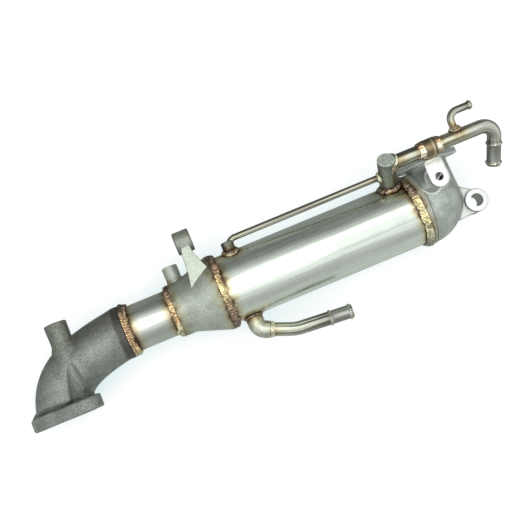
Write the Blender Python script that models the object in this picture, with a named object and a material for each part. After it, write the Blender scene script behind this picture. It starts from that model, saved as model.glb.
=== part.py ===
"""A fabricated exhaust gas recirculation pipe: cast inlet elbow, tube, cast cone, shell-and-tube cooler, cast head.

Units are metres. Sizes and stations are laid out from the cooler's axis: X runs along it from the inlet to the
outlet and is zero at the cone's large end face. The finished model is then moved so that its origin is the centre
of the inlet flange's face. The inlet flange faces -Y, the outlet flange faces +Y, the coolant fittings lie at +Z.
"""

import bmesh
import bpy
from math import cos, pi, radians, sin, sqrt, tan
from mathutils import Matrix, Vector

# Fits shared by every joint
GAP = 0.0003
CUT_PAST = 0.004

# Cooler shell
SHELL_RADIUS = 0.0270
SHELL_WALL = 0.0013
SHELL_LENGTH = 0.1675
SHELL_SOCKET = 0.0030
SEAM_SLANT = radians(4.1)

# Tube bundle inside the shell
GAS_TUBE_WALL = 0.0006
BUNDLE_MARGIN = 0.0030
BUNDLE_LIGAMENT = 0.0026
BUNDLE_RINGS = 2
TUBE_SHEET_THICKNESS = 0.0025
BAFFLE_THICKNESS = 0.0012
BAFFLE_COUNT = 2
BAFFLE_WINDOW = 0.0125

# Cast cone between the inlet tube and the shell
CONE_END_STEP = 0.0036
CONE_LENGTH = 0.0285
COLLAR_STEP = 0.00295
CONE_COLLAR_LENGTH = 0.0090
CONE_BOSS_RADIUS = 0.0062
CONE_BOSS_TOP = 0.0342
CONE_BOSS_FROM_COLLAR = 0.0078

# Lifting lug cast on the cone
LUG_EYE_RADIUS = 0.0090
LUG_EYE_LENGTH = 0.0132
LUG_HOLE_RADIUS = 0.0045
LUG_EYE_Y = 0.0462
LUG_FACE_Z = 0.0224
LUG_EYE_X = -0.0118
LUG_NECK_WIDTH = 0.0074
LUG_ARM_THICKNESS = 0.0120
LUG_WAIST_Y = 0.0352
LUG_FOOT_Y = 0.0040
LUG_INLET_SPREAD = 0.0043
LUG_INLET_KNEE_Y = 0.0225
LUG_OUTLET_SPREAD = 0.0068
LUG_OUTLET_KNEE_Y = 0.0285
LUG_OUTLET_HEEL_Y = 0.0195

# Inlet tube
TUBE_RADIUS = 0.01825
TUBE_WALL = 0.0015
TUBE_LENGTH = 0.0410
TUBE_SOCKET = 0.0040

# Cast inlet elbow and its flange
ELBOW_REACH = 0.0660
ELBOW_DROP = 0.0459
ELBOW_COLLAR = 0.0050
ELBOW_START_PULL = 0.0370
ELBOW_START_SLOPE = radians(9.0)
ELBOW_END_PULL = 0.0320
ELBOW_END_RADIUS = 0.0222
ELBOW_BORE_END_RADIUS = 0.0175
INLET_FLANGE_THICKNESS = 0.0103
INLET_BOLT_PITCH = 0.0608
INLET_BOLT_ANGLE = radians(49.5)
INLET_BOLT_HOLE_RADIUS = 0.0045
INLET_EAR_RADIUS = 0.0135
INLET_FLANGE_BODY_RADIUS = 0.0250
INLET_FLANGE_FILLET = 0.0022
INLET_FLANGE_EDGE = 0.0016
INLET_HEEL_RADIUS = 0.0238
INLET_HEEL_SHIFT = 0.0019
INLET_HEEL_RISE = 0.0060
BOLT_POCKET_RADIUS = 0.0100
BOLT_POCKET_TIP_RADIUS = 0.0030
BOLT_POCKET_LENGTH = 0.0270
PLUG_BOSS_RADIUS = 0.00885
PLUG_BOSS_TOP = 0.0259
PLUG_BOSS_Z = 0.0120
PLUG_BOSS_FROM_COLLAR = 0.0473

# Cast outlet head
HEAD_COLLAR_STEP = 0.0026
HEAD_NECK_RADIUS = 0.0165
HEAD_NECK_FROM_SEAM = 0.0225
HEAD_TURN_RISE = 0.0045
HEAD_FAN_INSET = 0.0006
HEAD_WALL = 0.0036
HEAD_LAND = 0.0064
HEAD_TURN_STEPS = 8
OUTLET_FLANGE_RISE = 0.0064
OUTLET_FLANGE_THICKNESS = 0.0046
OUTLET_FLANGE_EDGE = 0.0005
OUTLET_BOLT_PITCH = 0.0410
OUTLET_BOLT_HOLE_RADIUS = 0.0033
OUTLET_EAR_RADIUS = 0.0068
OUTLET_FLANGE_BODY_RADIUS = 0.0200

# Mounting ear on the head
EAR_FROM_NECK = 0.0236
EAR_Y = -0.0108
EAR_RING_RADIUS = 0.0093
EAR_HOLE_RADIUS = 0.0052
EAR_TOP_Z = 0.0095
EAR_BOTTOM_Z = -0.0090
WEB_TOP_Z = 0.0055
WEB_THICKNESS = 0.0090
WEB_ROOT_RADIUS = 0.0115
WEB_ROOT_Y = -0.0091
WEB_SIDE_RADIUS = 0.0080
WEB_SIDE_FROM_NECK = 0.0060
WEB_SIDE_Y = 0.0020

# Pipe bracket and the boss that it bolts to
TAB_WIDTH = 0.0146
TAB_THICKNESS = 0.0015
TAB_FROM_NECK = -0.0019
TAB_HOLE_Y = 0.0158
TAB_END_MARGIN = 0.0079
TAB_HOLE_RADIUS = 0.0034
TAB_BEND_RADIUS = 0.0020
STRAP_WIDTH = 0.0086
STRAP_BRAZE_LEG = 0.0056
BRACKET_BOSS_RADIUS = 0.0104
BRACKET_BOSS_SHIFT = 0.0010
BRACKET_THREAD_RADIUS = 0.0025
BRACKET_THREAD_DEPTH = 0.0055

# Coolant header on the outlet end of the shell
HEADER_RADIUS = 0.0069
HEADER_WALL = 0.0013
HEADER_CAP_THICKNESS = 0.0020
HEADER_TILT = radians(33.0)
HEADER_FROM_SEAM = 0.0149
HEADER_OFFSET = 0.0140
HEADER_HEIGHT = 0.0325
HEADER_PORT_DEPTH = 0.0068

# Coolant pipes
COOLANT_PIPE_RADIUS = 0.00545
COOLANT_PIPE_WALL = 0.0010
COOLANT_BEAD_HEIGHT = 0.0010
COOLANT_BEAD_WIDTH = 0.0030
BEAD_SPACING = 0.0160
OUTLET_PIPE_RUN = 0.0905
OUTLET_PIPE_BEND = 0.0105
OUTLET_LEG_LENGTH = 0.0358
OUTLET_LEG_TILT = radians(35.0)
OUTLET_LEG_SWING = radians(13.5)
INLET_FITTING_X = 0.0167
INLET_FITTING_RADIUS = 0.00685
INLET_FITTING_DROP = 0.0112
INLET_FITTING_ARM = 0.0085
INLET_FITTING_BEND = 0.0074
INLET_PIPE_SLOPE = radians(22.0)
INLET_PIPE_END_SLOPE = radians(4.7)
INLET_PIPE_FIRST_RUN = 0.0292
INLET_PIPE_SECOND_RUN = 0.0462
INLET_PIPE_BEND = 0.0350

# Vent pipe on the outlet pipe
VENT_RADIUS = 0.0029
VENT_WALL = 0.0007
VENT_FROM_HEADER = 0.0595
VENT_RISE = 0.0192
VENT_RUN = 0.0195
VENT_BEND = 0.0072
VENT_BEAD_HEIGHT = 0.0008

# Bleed tube from the inlet end of the shell to the header
BLEED_RADIUS = 0.0025
BLEED_WALL = 0.0006
BLEED_FITTING_X = 0.0190
BLEED_FITTING_Z = 0.0095
BLEED_FITTING_RADIUS = 0.0050
BLEED_FITTING_TOP = 0.0082
BLEED_LINE_RISE = 0.0080
BLEED_HEADER_DEPTH = 0.0165
BLEED_BEND = 0.0080

# Weld and braze legs
TUBE_WELD_LEG = 0.0042
CONE_WELD_LEG = 0.0052
SEAM_WELD_LEG = 0.0046
PORT_WELD_LEG = 0.0034
INLET_WELD_LEG = 0.0014
BRAZE_LEG = 0.0026

# Facets round a full turn
ROUND_LARGE = 36
ROUND_CAST = 24
ROUND_BOSS = 18
ROUND_PIPE = 14
ROUND_SMALL = 12
ROUND_BUNDLE = 8

COOLER = Vector((1, 0, 0))
UP = Vector((0, 0, 1))
ACROSS = Vector((0, 1, 0))

# Radii, stations on the cooler axis and heights off it, worked out from the sizes
COLLAR_RADIUS = TUBE_RADIUS + COLLAR_STEP
CONE_END_RADIUS = SHELL_RADIUS + CONE_END_STEP
HEAD_COLLAR_RADIUS = SHELL_RADIUS + HEAD_COLLAR_STEP
SHELL_BORE = SHELL_RADIUS - SHELL_WALL
GAS_TUBE_PITCH = (SHELL_BORE - BUNDLE_MARGIN + BUNDLE_LIGAMENT / 2) / (BUNDLE_RINGS + 0.5)
GAS_TUBE_RADIUS = (GAS_TUBE_PITCH - BUNDLE_LIGAMENT) / 2
CONE_START_X = -CONE_LENGTH - CONE_COLLAR_LENGTH
TUBE_START_X = CONE_START_X - TUBE_LENGTH
ELBOW_FLANGE_X = TUBE_START_X - ELBOW_REACH
SEAM_X = SHELL_LENGTH
SHELL_START_X = -SHELL_SOCKET
SHELL_END_X = SEAM_X + SHELL_SOCKET
HEAD_NECK_X = SEAM_X + HEAD_NECK_FROM_SEAM
EAR_X = HEAD_NECK_X + EAR_FROM_NECK
TAB_X = HEAD_NECK_X + TAB_FROM_NECK
OUTLET_FLANGE_Y = HEAD_COLLAR_RADIUS + OUTLET_FLANGE_RISE
INLET_FACE_CENTRE = Vector((ELBOW_FLANGE_X, -ELBOW_DROP, 0))


def clear_scene():
    for obj in list(bpy.data.objects):
        bpy.data.objects.remove(obj, do_unlink=True)


def make_material(name, colour, metallic, roughness):
    material = bpy.data.materials.new(name)
    material.use_nodes = True
    shader = material.node_tree.nodes["Principled BSDF"]
    shader.inputs["Base Color"].default_value = (*colour, 1)
    shader.inputs["Metallic"].default_value = metallic
    shader.inputs["Roughness"].default_value = roughness
    return material


def add_object(name, bm, material=None):
    """Turn a finished bmesh into an object; without a material it is a hidden cutting tool."""
    bmesh.ops.remove_doubles(bm, verts=bm.verts, dist=1e-6)
    bmesh.ops.translate(bm, verts=bm.verts, vec=-INLET_FACE_CENTRE)
    bmesh.ops.recalc_face_normals(bm, faces=bm.faces)
    mesh = bpy.data.meshes.new(name)
    bm.to_mesh(mesh)
    bm.free()
    obj = bpy.data.objects.new(name, mesh)
    bpy.context.scene.collection.objects.link(obj)
    if material:
        mesh.materials.append(material)
        mesh.shade_smooth()
        mesh.set_sharp_from_angle(angle=radians(35))
    else:
        obj.hide_render = True
        obj.display_type = "WIRE"
    return obj


def boolean(target, tool, operation):
    modifier = target.modifiers.new(f"{operation.title()} {tool.name}", "BOOLEAN")
    modifier.operation = operation
    modifier.object = tool
    modifier.solver = "EXACT"


def join_to(target, *tools):
    for tool in tools:
        boolean(target, tool, "UNION")


def cut_from(target, *tools):
    for tool in tools:
        boolean(target, tool, "DIFFERENCE")


def frame_on(origin, direction, reference=UP):
    """A matrix whose Z axis is the direction and whose X axis leans towards the reference."""
    z_axis = direction.normalized()
    x_axis = (reference - z_axis * reference.dot(z_axis))
    if x_axis.length < 1e-6:
        x_axis = z_axis.orthogonal()
    x_axis.normalize()
    matrix = Matrix((x_axis, z_axis.cross(x_axis), z_axis)).transposed().to_4x4()
    matrix.translation = origin
    return matrix


def ring_points(frame, radius, sides):
    return [frame @ Vector((radius * cos(2 * pi * k / sides), radius * sin(2 * pi * k / sides), 0))
            for k in range(sides)]


def skin(bm, rings, closed):
    """Bridge equal rings of points in order; a closed row meets its own start, an open one is capped."""
    rows = [[bm.verts.new(point) for point in ring] for ring in rings]
    pairs = list(zip(rows, rows[1:]))
    if closed:
        pairs.append((rows[-1], rows[0]))
    for low, high in pairs:
        for k in range(len(low)):
            following = (k + 1) % len(low)
            bm.faces.new((low[k], low[following], high[following], high[k]))
    if not closed:
        bm.faces.new(reversed(rows[0]))
        bm.faces.new(rows[-1])


def solid_from_rings(name, rings, material=None, closed=False):
    bm = bmesh.new()
    skin(bm, rings, closed)
    return add_object(name, bm, material)


def rod(name, start, end, radius, sides, material=None, end_radius=None, edge=0.0):
    """A round bar between two points, with an optional taper and an edge chamfer at its end."""
    frame = frame_on(start, end - start)
    length = (end - start).length
    last = radius if end_radius is None else end_radius
    stations = [(0, radius), (length, last)]
    if edge:
        stations = [(0, radius), (length - edge, last), (length, last - edge)]
    rings = [ring_points(frame @ Matrix.Translation((0, 0, at)), r, sides) for at, r in stations]
    return solid_from_rings(name, rings, material)


def turned_ring(name, frame, profile, sides, material, slant=0.0):
    """A ring turned from a closed profile of (distance along the axis, radius) points."""
    rings = []
    for along, radius in profile:
        ring = ring_points(frame @ Matrix.Translation((0, 0, along)), radius, sides)
        rings.append([point - COOLER * (point.y * tan(slant)) for point in ring])
    return solid_from_rings(name, rings, material, closed=True)


def prism(name, outline, frame, depth, material=None):
    """A flat outline in the frame's XY plane, carried the depth along its Z axis."""
    rings = [[frame @ Vector((x, y, z)) for x, y in outline] for z in (0, depth)]
    return solid_from_rings(name, rings, material)


def hull_outline(circles, steps):
    """The band stretched round circles given as (x, y, radius)."""
    outline = []
    for k in range(steps):
        angle = 2 * pi * k / steps
        x, y, radius = max(circles, key=lambda c: c[0] * cos(angle) + c[1] * sin(angle) + c[2])
        outline.append((x + radius * cos(angle), y + radius * sin(angle)))
    return outline


def edged_plate(name, circles, steps, frame, thickness, edge, material=None):
    """A plate drawn round circles in the frame's XY plane, its edges rounded; the frame's own face stays flat."""
    levels = ((0, 0.35), (0.35, 0), (thickness / edge - 1, 0), (thickness / edge - 0.3, 0.3), (thickness / edge, 1))
    rings = []
    for level, inset in levels:
        drawn = hull_outline([(x, y, radius - inset * edge) for x, y, radius in circles], steps)
        rings.append([frame @ Vector((x, y, level * edge)) for x, y in drawn])
    return solid_from_rings(name, rings, material)


class Route:
    """A pipe's centreline: straight legs between corners, with a round bend at each inner corner."""

    def __init__(self, corners, bend_radius, steps=6):
        self.points = [corners[0]]
        for before, corner, after in zip(corners, corners[1:], corners[2:]):
            into = (corner - before).normalized()
            out = (after - corner).normalized()
            turn = into.angle(out)
            setback = bend_radius * tan(turn / 2)
            centre = corner + (out - into).normalized() * (bend_radius / cos(turn / 2))
            axis = into.cross(out).normalized()
            start = corner - into * setback - centre
            count = max(2, round(steps * turn / (pi / 2)))
            for k in range(count + 1):
                self.points.append(centre + Matrix.Rotation(turn * k / count, 3, axis) @ start)
        self.points.append(corners[-1])

    def frames(self, extra=()):
        """A frame at each point and at each extra distance from the end, carried along without twist."""
        marks = [0.0]
        for a, b in zip(self.points, self.points[1:]):
            marks.append(marks[-1] + (b - a).length)
        stations = sorted(set(marks) | {marks[-1] - distance for distance in extra})
        frames = []
        reference = UP
        for station in stations:
            segment = max(k for k in range(len(marks) - 1) if marks[k] <= station + 1e-9)
            share = (station - marks[segment]) / (marks[segment + 1] - marks[segment])
            here = self.points[segment].lerp(self.points[segment + 1], share)
            heading = (self.points[segment + 1] - self.points[segment]).normalized()
            if segment and share < 1e-6:
                heading = (heading + (self.points[segment] - self.points[segment - 1]).normalized()).normalized()
            frame = frame_on(here, heading, reference)
            reference = frame.col[0].to_3d()
            frames.append((marks[-1] - station, frame))
        return frames


def bead_rise(distance, beads, height, width):
    """How far a rolled bead lifts the wall at this distance from the pipe's end."""
    nearest = min((abs(distance - bead) for bead in beads), default=width)
    return height * max(0.0, cos(min(1.0, nearest / (width / 2)) * pi / 2))


def swept_pipe(name, route, radius, wall, sides, material, beads=(), bead_height=0.0, bead_width=0.001):
    """A round pipe along a route, with a rolled bead at each given distance from its end."""
    steps = (-0.5, -0.2, 0.2, 0.5)
    extra = [bead + bead_width * step for bead in beads for step in steps]
    outer, inner = [], []
    for distance, frame in route.frames(extra):
        rise = bead_rise(distance, beads, bead_height, bead_width)
        outer.append(ring_points(frame, radius + rise, sides))
        inner.append(ring_points(frame, radius - wall, sides))
    return solid_from_rings(name, outer + inner[::-1], material, closed=True)


def swept_cutter(name, route, radius, sides):
    return solid_from_rings(name, [ring_points(frame, radius, sides) for _, frame in route.frames()])


def carrier_hit(point, direction, origin, axis, radius):
    """Where a line meets a round carrier, on its outgoing side; a line that misses stops level with the axis."""
    offset = point - origin
    flat = direction - axis * direction.dot(axis)
    offset -= axis * offset.dot(axis)
    a = flat.dot(flat)
    b = flat.dot(offset)
    c = offset.dot(offset) - radius * radius
    return point + direction * ((-b + sqrt(max(0.0, b * b - a * c))) / a)


def saddle_weld(name, origin, direction, radius, carrier, leg, sides, material, trimmed=False):
    """A fillet bead round a branch pipe where it lands on a round carrier (origin, axis, radius).

    On a carrier hardly wider than the branch the bead is also trimmed to the carrier's own surface.
    """
    base, axis, carrier_radius = carrier
    direction = direction.normalized()
    frame = frame_on(origin, direction)
    rings = []
    for k in range(sides):
        angle = 2 * pi * k / sides
        outward = frame.to_3x3() @ Vector((cos(angle), sin(angle), 0))
        toe = carrier_hit(origin + outward * (radius + leg), direction, base, axis, carrier_radius + GAP)
        root = carrier_hit(origin + outward * (radius + GAP), direction, base, axis, carrier_radius + GAP)
        crown = root.lerp(toe, 0.62) + direction * (leg * 0.62)
        rings.append([root, toe, crown, root + direction * leg])
    weld = solid_from_rings(name, rings, material, closed=True)
    if trimmed:
        reach = axis * 3 * (radius + leg)
        middle = base + axis * (origin - base).dot(axis)
        cut_from(weld, rod(f"{name}_trim_cut", middle - reach, middle + reach, carrier_radius + GAP, ROUND_LARGE))
    return weld


def fillet_ring(name, frame, inner_radius, leg, rise, sides, material, slant=0.0):
    """A weld in the corner between a tube and the end face of the collar that it enters."""
    profile = [(GAP, inner_radius + GAP), (leg, inner_radius + GAP), (leg * 0.6, inner_radius + rise * 0.8),
               (GAP, inner_radius + rise)]
    return turned_ring(name, frame, profile, sides, material, slant)


clear_scene()

CAST_ELBOW = make_material("cast_elbow", (0.115, 0.120, 0.112), 0.55, 0.62)
CAST_CONE = make_material("cast_cone", (0.200, 0.205, 0.190), 0.65, 0.48)
CAST_HEAD = make_material("cast_head", (0.250, 0.265, 0.250), 0.65, 0.45)
STAINLESS = make_material("satin_stainless", (0.620, 0.625, 0.600), 1.0, 0.26)
PIPE_STEEL = make_material("pipe_stainless", (0.420, 0.420, 0.390), 1.0, 0.30)
FITTING_STEEL = make_material("fitting_steel", (0.300, 0.300, 0.275), 0.9, 0.40)
BRIGHT_SHEET = make_material("bright_sheet", (0.800, 0.800, 0.790), 1.0, 0.32)
WELD_BEAD = make_material("weld_bead", (0.430, 0.290, 0.170), 1.0, 0.38)
BRAZE_GOLD = make_material("braze_gold", (0.640, 0.500, 0.270), 1.0, 0.34)
INNER_STEEL = make_material("inner_stainless", (0.500, 0.500, 0.490), 1.0, 0.35)


def on_axis(x):
    return Vector((x, 0, 0))


def axis_frame(x, direction=COOLER):
    return frame_on(on_axis(x), direction)


def axis_rod(name, start_x, end_x, radius, end_radius=None, slant=0.0):
    """A cutter on the cooler axis; a slant leans its first face."""
    rings = []
    for x, r, lean in ((start_x, radius, slant), (end_x, end_radius or radius, 0.0)):
        ring = ring_points(axis_frame(x), r, ROUND_LARGE)
        rings.append([point - COOLER * (point.y * tan(lean)) for point in ring])
    return solid_from_rings(name, rings)


def bezier(points, share):
    """A point and a heading on a cubic curve."""
    a, b, c, d = points
    rest = 1 - share
    here = a * rest ** 3 + b * 3 * rest ** 2 * share + c * 3 * rest * share ** 2 + d * share ** 3
    heading = (b - a) * rest ** 2 + (c - b) * 2 * rest * share + (d - c) * share ** 2
    return here, heading.normalized()


# Inlet elbow: a swept casting, its flange with two ears, a plug boss, and a pocket that clears the near bolt
def elbow_rings(start_radius, end_radius, past_ends=0.0, steps=9):
    """Rings from the collar's face, square to the cooler axis, round to the flange face."""
    bend_start = on_axis(TUBE_START_X - ELBOW_COLLAR)
    pull = Vector((-cos(ELBOW_START_SLOPE), -sin(ELBOW_START_SLOPE), 0)) * ELBOW_START_PULL
    curve = (bend_start, bend_start + pull, INLET_FACE_CENTRE + ACROSS * ELBOW_END_PULL, INLET_FACE_CENTRE)
    rings = [ring_points(axis_frame(TUBE_START_X + past_ends, -COOLER), start_radius, ROUND_CAST)]
    for k in range(steps + 1):
        share = k / steps
        here, heading = bezier(curve, share)
        radius = start_radius + (end_radius - start_radius) * share
        rings.append(ring_points(frame_on(here, heading), radius, ROUND_CAST))
    if past_ends:
        rings.append(ring_points(frame_on(INLET_FACE_CENTRE - ACROSS * past_ends, -ACROSS), end_radius, ROUND_CAST))
    return rings


def inlet_bolt(side):
    half = INLET_BOLT_PITCH / 2 * side
    return Vector((ELBOW_FLANGE_X + half * cos(INLET_BOLT_ANGLE), -ELBOW_DROP, half * sin(INLET_BOLT_ANGLE)))


def build_inlet_elbow():
    elbow = solid_from_rings("inlet_elbow", elbow_rings(COLLAR_RADIUS, ELBOW_END_RADIUS), CAST_ELBOW)
    near, far = inlet_bolt(1), inlet_bolt(-1)
    circles = [(near.x, near.z, INLET_EAR_RADIUS), (far.x, far.z, INLET_EAR_RADIUS),
               (ELBOW_FLANGE_X, 0, INLET_FLANGE_BODY_RADIUS)]
    face = Matrix(((1, 0, 0, 0), (0, 0, 1, -ELBOW_DROP), (0, 1, 0, 0), (0, 0, 0, 1)))
    flange = edged_plate("inlet_flange_form", circles, 44, face, INLET_FLANGE_THICKNESS, INLET_FLANGE_EDGE)
    top_y = INLET_FLANGE_THICKNESS - ELBOW_DROP
    flare = rod("inlet_flange_flare", Vector((ELBOW_FLANGE_X, top_y - GAP, 0)),
                Vector((ELBOW_FLANGE_X, top_y + INLET_FLANGE_FILLET, 0)),
                ELBOW_END_RADIUS + INLET_FLANGE_FILLET, ROUND_CAST, end_radius=ELBOW_END_RADIUS)
    heel_x = ELBOW_FLANGE_X + INLET_HEEL_SHIFT
    heel = rod("inlet_heel_form", Vector((heel_x, top_y - GAP, 0)), Vector((heel_x, top_y + INLET_HEEL_RISE, 0)),
               INLET_HEEL_RADIUS, ROUND_CAST, end_radius=ELBOW_END_RADIUS - INLET_HEEL_SHIFT / 2)
    boss_x = TUBE_START_X - PLUG_BOSS_FROM_COLLAR
    boss = rod("plug_boss_form", Vector((boss_x, PLUG_BOSS_TOP - 2 * PLUG_BOSS_RADIUS - COLLAR_RADIUS, PLUG_BOSS_Z)),
               Vector((boss_x, PLUG_BOSS_TOP, PLUG_BOSS_Z)), PLUG_BOSS_RADIUS, ROUND_BOSS,
               edge=PLUG_BOSS_RADIUS * 0.12)
    join_to(elbow, flange, flare, heel, boss)
    bore = solid_from_rings("elbow_bore_cut", elbow_rings(TUBE_RADIUS - TUBE_WALL, ELBOW_BORE_END_RADIUS, CUT_PAST))
    socket = axis_rod("elbow_socket_cut", TUBE_START_X - TUBE_SOCKET, TUBE_START_X + CUT_PAST, TUBE_RADIUS + GAP)
    pocket_foot = Vector((near.x, top_y, near.z))
    pocket = rod("bolt_pocket_cut", pocket_foot, pocket_foot + ACROSS * BOLT_POCKET_LENGTH, BOLT_POCKET_RADIUS,
                 ROUND_CAST, end_radius=BOLT_POCKET_TIP_RADIUS)
    holes = [rod(f"inlet_bolt_cut_{number}", foot - ACROSS * CUT_PAST,
                 foot + ACROSS * (INLET_FLANGE_THICKNESS + CUT_PAST), INLET_BOLT_HOLE_RADIUS, ROUND_PIPE)
             for number, foot in enumerate((near, far))]
    cut_from(elbow, bore, socket, pocket, *holes)


# Inlet tube, a plain length let into the elbow's collar and the cone's collar
def build_inlet_tube():
    start, end = TUBE_START_X - TUBE_SOCKET + GAP, CONE_START_X + TUBE_SOCKET - GAP
    bore = TUBE_RADIUS - TUBE_WALL
    profile = [(start, TUBE_RADIUS), (end, TUBE_RADIUS), (end, bore), (start, bore)]
    turned_ring("inlet_tube", axis_frame(0), profile, ROUND_LARGE, STAINLESS)


# Inlet cone: a turned casting with a plain boss and the lifting lug
def lug_arm_outline():
    """The arm's flat face, from the eye down to the two corners where it runs out on the cone."""
    neck = LUG_NECK_WIDTH / 2
    left, right = LUG_EYE_X - neck, LUG_EYE_X + neck
    under_eye = LUG_EYE_Y - LUG_EYE_RADIUS * 0.7
    left_side = [(left, LUG_EYE_Y), (left, under_eye), (left - LUG_INLET_SPREAD * 0.25, LUG_WAIST_Y),
                 (left - LUG_INLET_SPREAD * 0.4, LUG_INLET_KNEE_Y), (left - LUG_INLET_SPREAD, LUG_FOOT_Y * 2),
                 (left - LUG_INLET_SPREAD, LUG_FOOT_Y)]
    right_side = [(right, LUG_EYE_Y), (right, under_eye), (right + LUG_OUTLET_SPREAD * 0.06, LUG_WAIST_Y),
                  (right + LUG_OUTLET_SPREAD * 0.4, LUG_OUTLET_KNEE_Y),
                  (right + LUG_OUTLET_SPREAD, LUG_OUTLET_HEEL_Y), (right + LUG_OUTLET_SPREAD, LUG_FOOT_Y)]
    return left_side + right_side[::-1]


def build_inlet_cone():
    land = SHELL_SOCKET * 0.5
    stations = [(CONE_START_X, COLLAR_RADIUS), (-CONE_LENGTH, COLLAR_RADIUS), (-land, CONE_END_RADIUS),
                (0, CONE_END_RADIUS)]
    rings = [ring_points(axis_frame(x), radius, ROUND_LARGE) for x, radius in stations]
    cone = solid_from_rings("inlet_cone", rings, CAST_CONE)
    boss_x = CONE_START_X + CONE_BOSS_FROM_COLLAR
    boss = rod("cone_boss_form", Vector((boss_x, TUBE_RADIUS, 0)), Vector((boss_x, CONE_BOSS_TOP, 0)),
               CONE_BOSS_RADIUS, ROUND_PIPE, edge=CONE_BOSS_RADIUS * 0.12)
    eye_z = LUG_FACE_Z - LUG_EYE_RADIUS
    eye_start = Vector((LUG_EYE_X - LUG_EYE_LENGTH / 2, LUG_EYE_Y, eye_z))
    eye = rod("lug_eye_form", eye_start, eye_start + COOLER * LUG_EYE_LENGTH, LUG_EYE_RADIUS, ROUND_BOSS)
    arm = prism("lug_arm_form", lug_arm_outline(), Matrix.Translation((0, 0, LUG_FACE_Z - LUG_ARM_THICKNESS)),
                LUG_ARM_THICKNESS)
    join_to(cone, boss, arm, eye)
    narrow = TUBE_RADIUS - TUBE_WALL
    inside = [(CONE_START_X - CUT_PAST, narrow), (-CONE_LENGTH, narrow), (SHELL_START_X, SHELL_BORE),
              (CUT_PAST, SHELL_BORE)]
    bore = solid_from_rings("cone_bore_cut", [ring_points(axis_frame(x), r, ROUND_LARGE) for x, r in inside])
    tube_socket = axis_rod("cone_tube_socket_cut", CONE_START_X - CUT_PAST, CONE_START_X + TUBE_SOCKET,
                           TUBE_RADIUS + GAP)
    shell_socket = axis_rod("cone_shell_socket_cut", SHELL_START_X, CUT_PAST, SHELL_RADIUS + GAP)
    hole = rod("lug_hole_cut", eye_start - COOLER * CUT_PAST, eye_start + COOLER * (LUG_EYE_LENGTH + CUT_PAST),
               LUG_HOLE_RADIUS, ROUND_PIPE)
    cut_from(cone, bore, tube_socket, shell_socket, hole)


# Coolant header: a capped fitting that leans over the shell; its frame serves the ports and the weld too
HEADER_AXIS = Vector((0, sin(HEADER_TILT), cos(HEADER_TILT)))
HEADER_SIDE = Vector((0, cos(HEADER_TILT), -sin(HEADER_TILT)))
HEADER_FOOT = carrier_hit(on_axis(SEAM_X - HEADER_FROM_SEAM) + HEADER_SIDE * HEADER_OFFSET, HEADER_AXIS,
                          on_axis(0), COOLER, SHELL_RADIUS)
HEADER_TOP = HEADER_FOOT + HEADER_AXIS * HEADER_HEIGHT
HEADER_PORT = HEADER_TOP - HEADER_AXIS * HEADER_PORT_DEPTH


def build_header():
    inside = SHELL_RADIUS - SHELL_WALL * 2
    bottom = HEADER_FOOT - HEADER_AXIS * inside * 0.5
    header = rod("coolant_header", bottom, HEADER_TOP, HEADER_RADIUS, ROUND_BOSS, FITTING_STEEL,
                 edge=HEADER_RADIUS * 0.09)
    bore = rod("header_bore_cut", bottom - HEADER_AXIS * CUT_PAST, HEADER_TOP - HEADER_AXIS * HEADER_CAP_THICKNESS,
               HEADER_RADIUS - HEADER_WALL, ROUND_BOSS)
    seat = axis_rod("header_seat_cut", HEADER_TOP.x - 3 * HEADER_RADIUS, HEADER_TOP.x + 3 * HEADER_RADIUS,
                    SHELL_RADIUS + GAP)
    pipe_port = rod("header_pipe_port_cut", HEADER_PORT, HEADER_PORT + COOLER * 2 * HEADER_RADIUS,
                    COOLANT_PIPE_RADIUS + GAP, ROUND_PIPE)
    bleed_port = rod("header_bleed_port_cut", BLEED_PORT, BLEED_PORT - BLEED_HEADING * 2 * HEADER_RADIUS,
                     BLEED_RADIUS + GAP, ROUND_SMALL)
    cut_from(header, bore, seat, pipe_port, bleed_port)
    weld = saddle_weld("header_weld", HEADER_FOOT, HEADER_AXIS, HEADER_RADIUS, (on_axis(0), COOLER, SHELL_RADIUS),
                       PORT_WELD_LEG, ROUND_BOSS, WELD_BEAD)
    beside_seam = axis_rod("header_weld_seam_cut", SEAM_X - SEAM_WELD_LEG - GAP, SEAM_X + SHELL_RADIUS,
                           2 * SHELL_RADIUS, slant=SEAM_SLANT)
    cut_from(weld, beside_seam)


# Bleed tube: from its fitting near the inlet end up and along the shell to the header
BLEED_PORT = HEADER_TOP - HEADER_AXIS * BLEED_HEADER_DEPTH
BLEED_FITTING_BASE = Vector((BLEED_FITTING_X, 0, BLEED_FITTING_Z))
BLEED_TOP_Y = SHELL_RADIUS + BLEED_FITTING_TOP
BLEED_RISER = Vector((BLEED_FITTING_X, BLEED_TOP_Y - 1.8 * BLEED_RADIUS, BLEED_FITTING_Z))
BLEED_CORNER = Vector((BLEED_FITTING_X + 1.8 * BLEED_RADIUS, SHELL_RADIUS + BLEED_LINE_RISE, BLEED_FITTING_Z))
BLEED_HEADING = (BLEED_PORT - BLEED_CORNER).normalized()


def bleed_route():
    """The tube ends inside the header's wall, short of its bore."""
    return Route([BLEED_RISER, BLEED_CORNER, BLEED_PORT - BLEED_HEADING * (HEADER_RADIUS - HEADER_WALL * 0.5)],
                 BLEED_BEND, steps=8)


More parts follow.
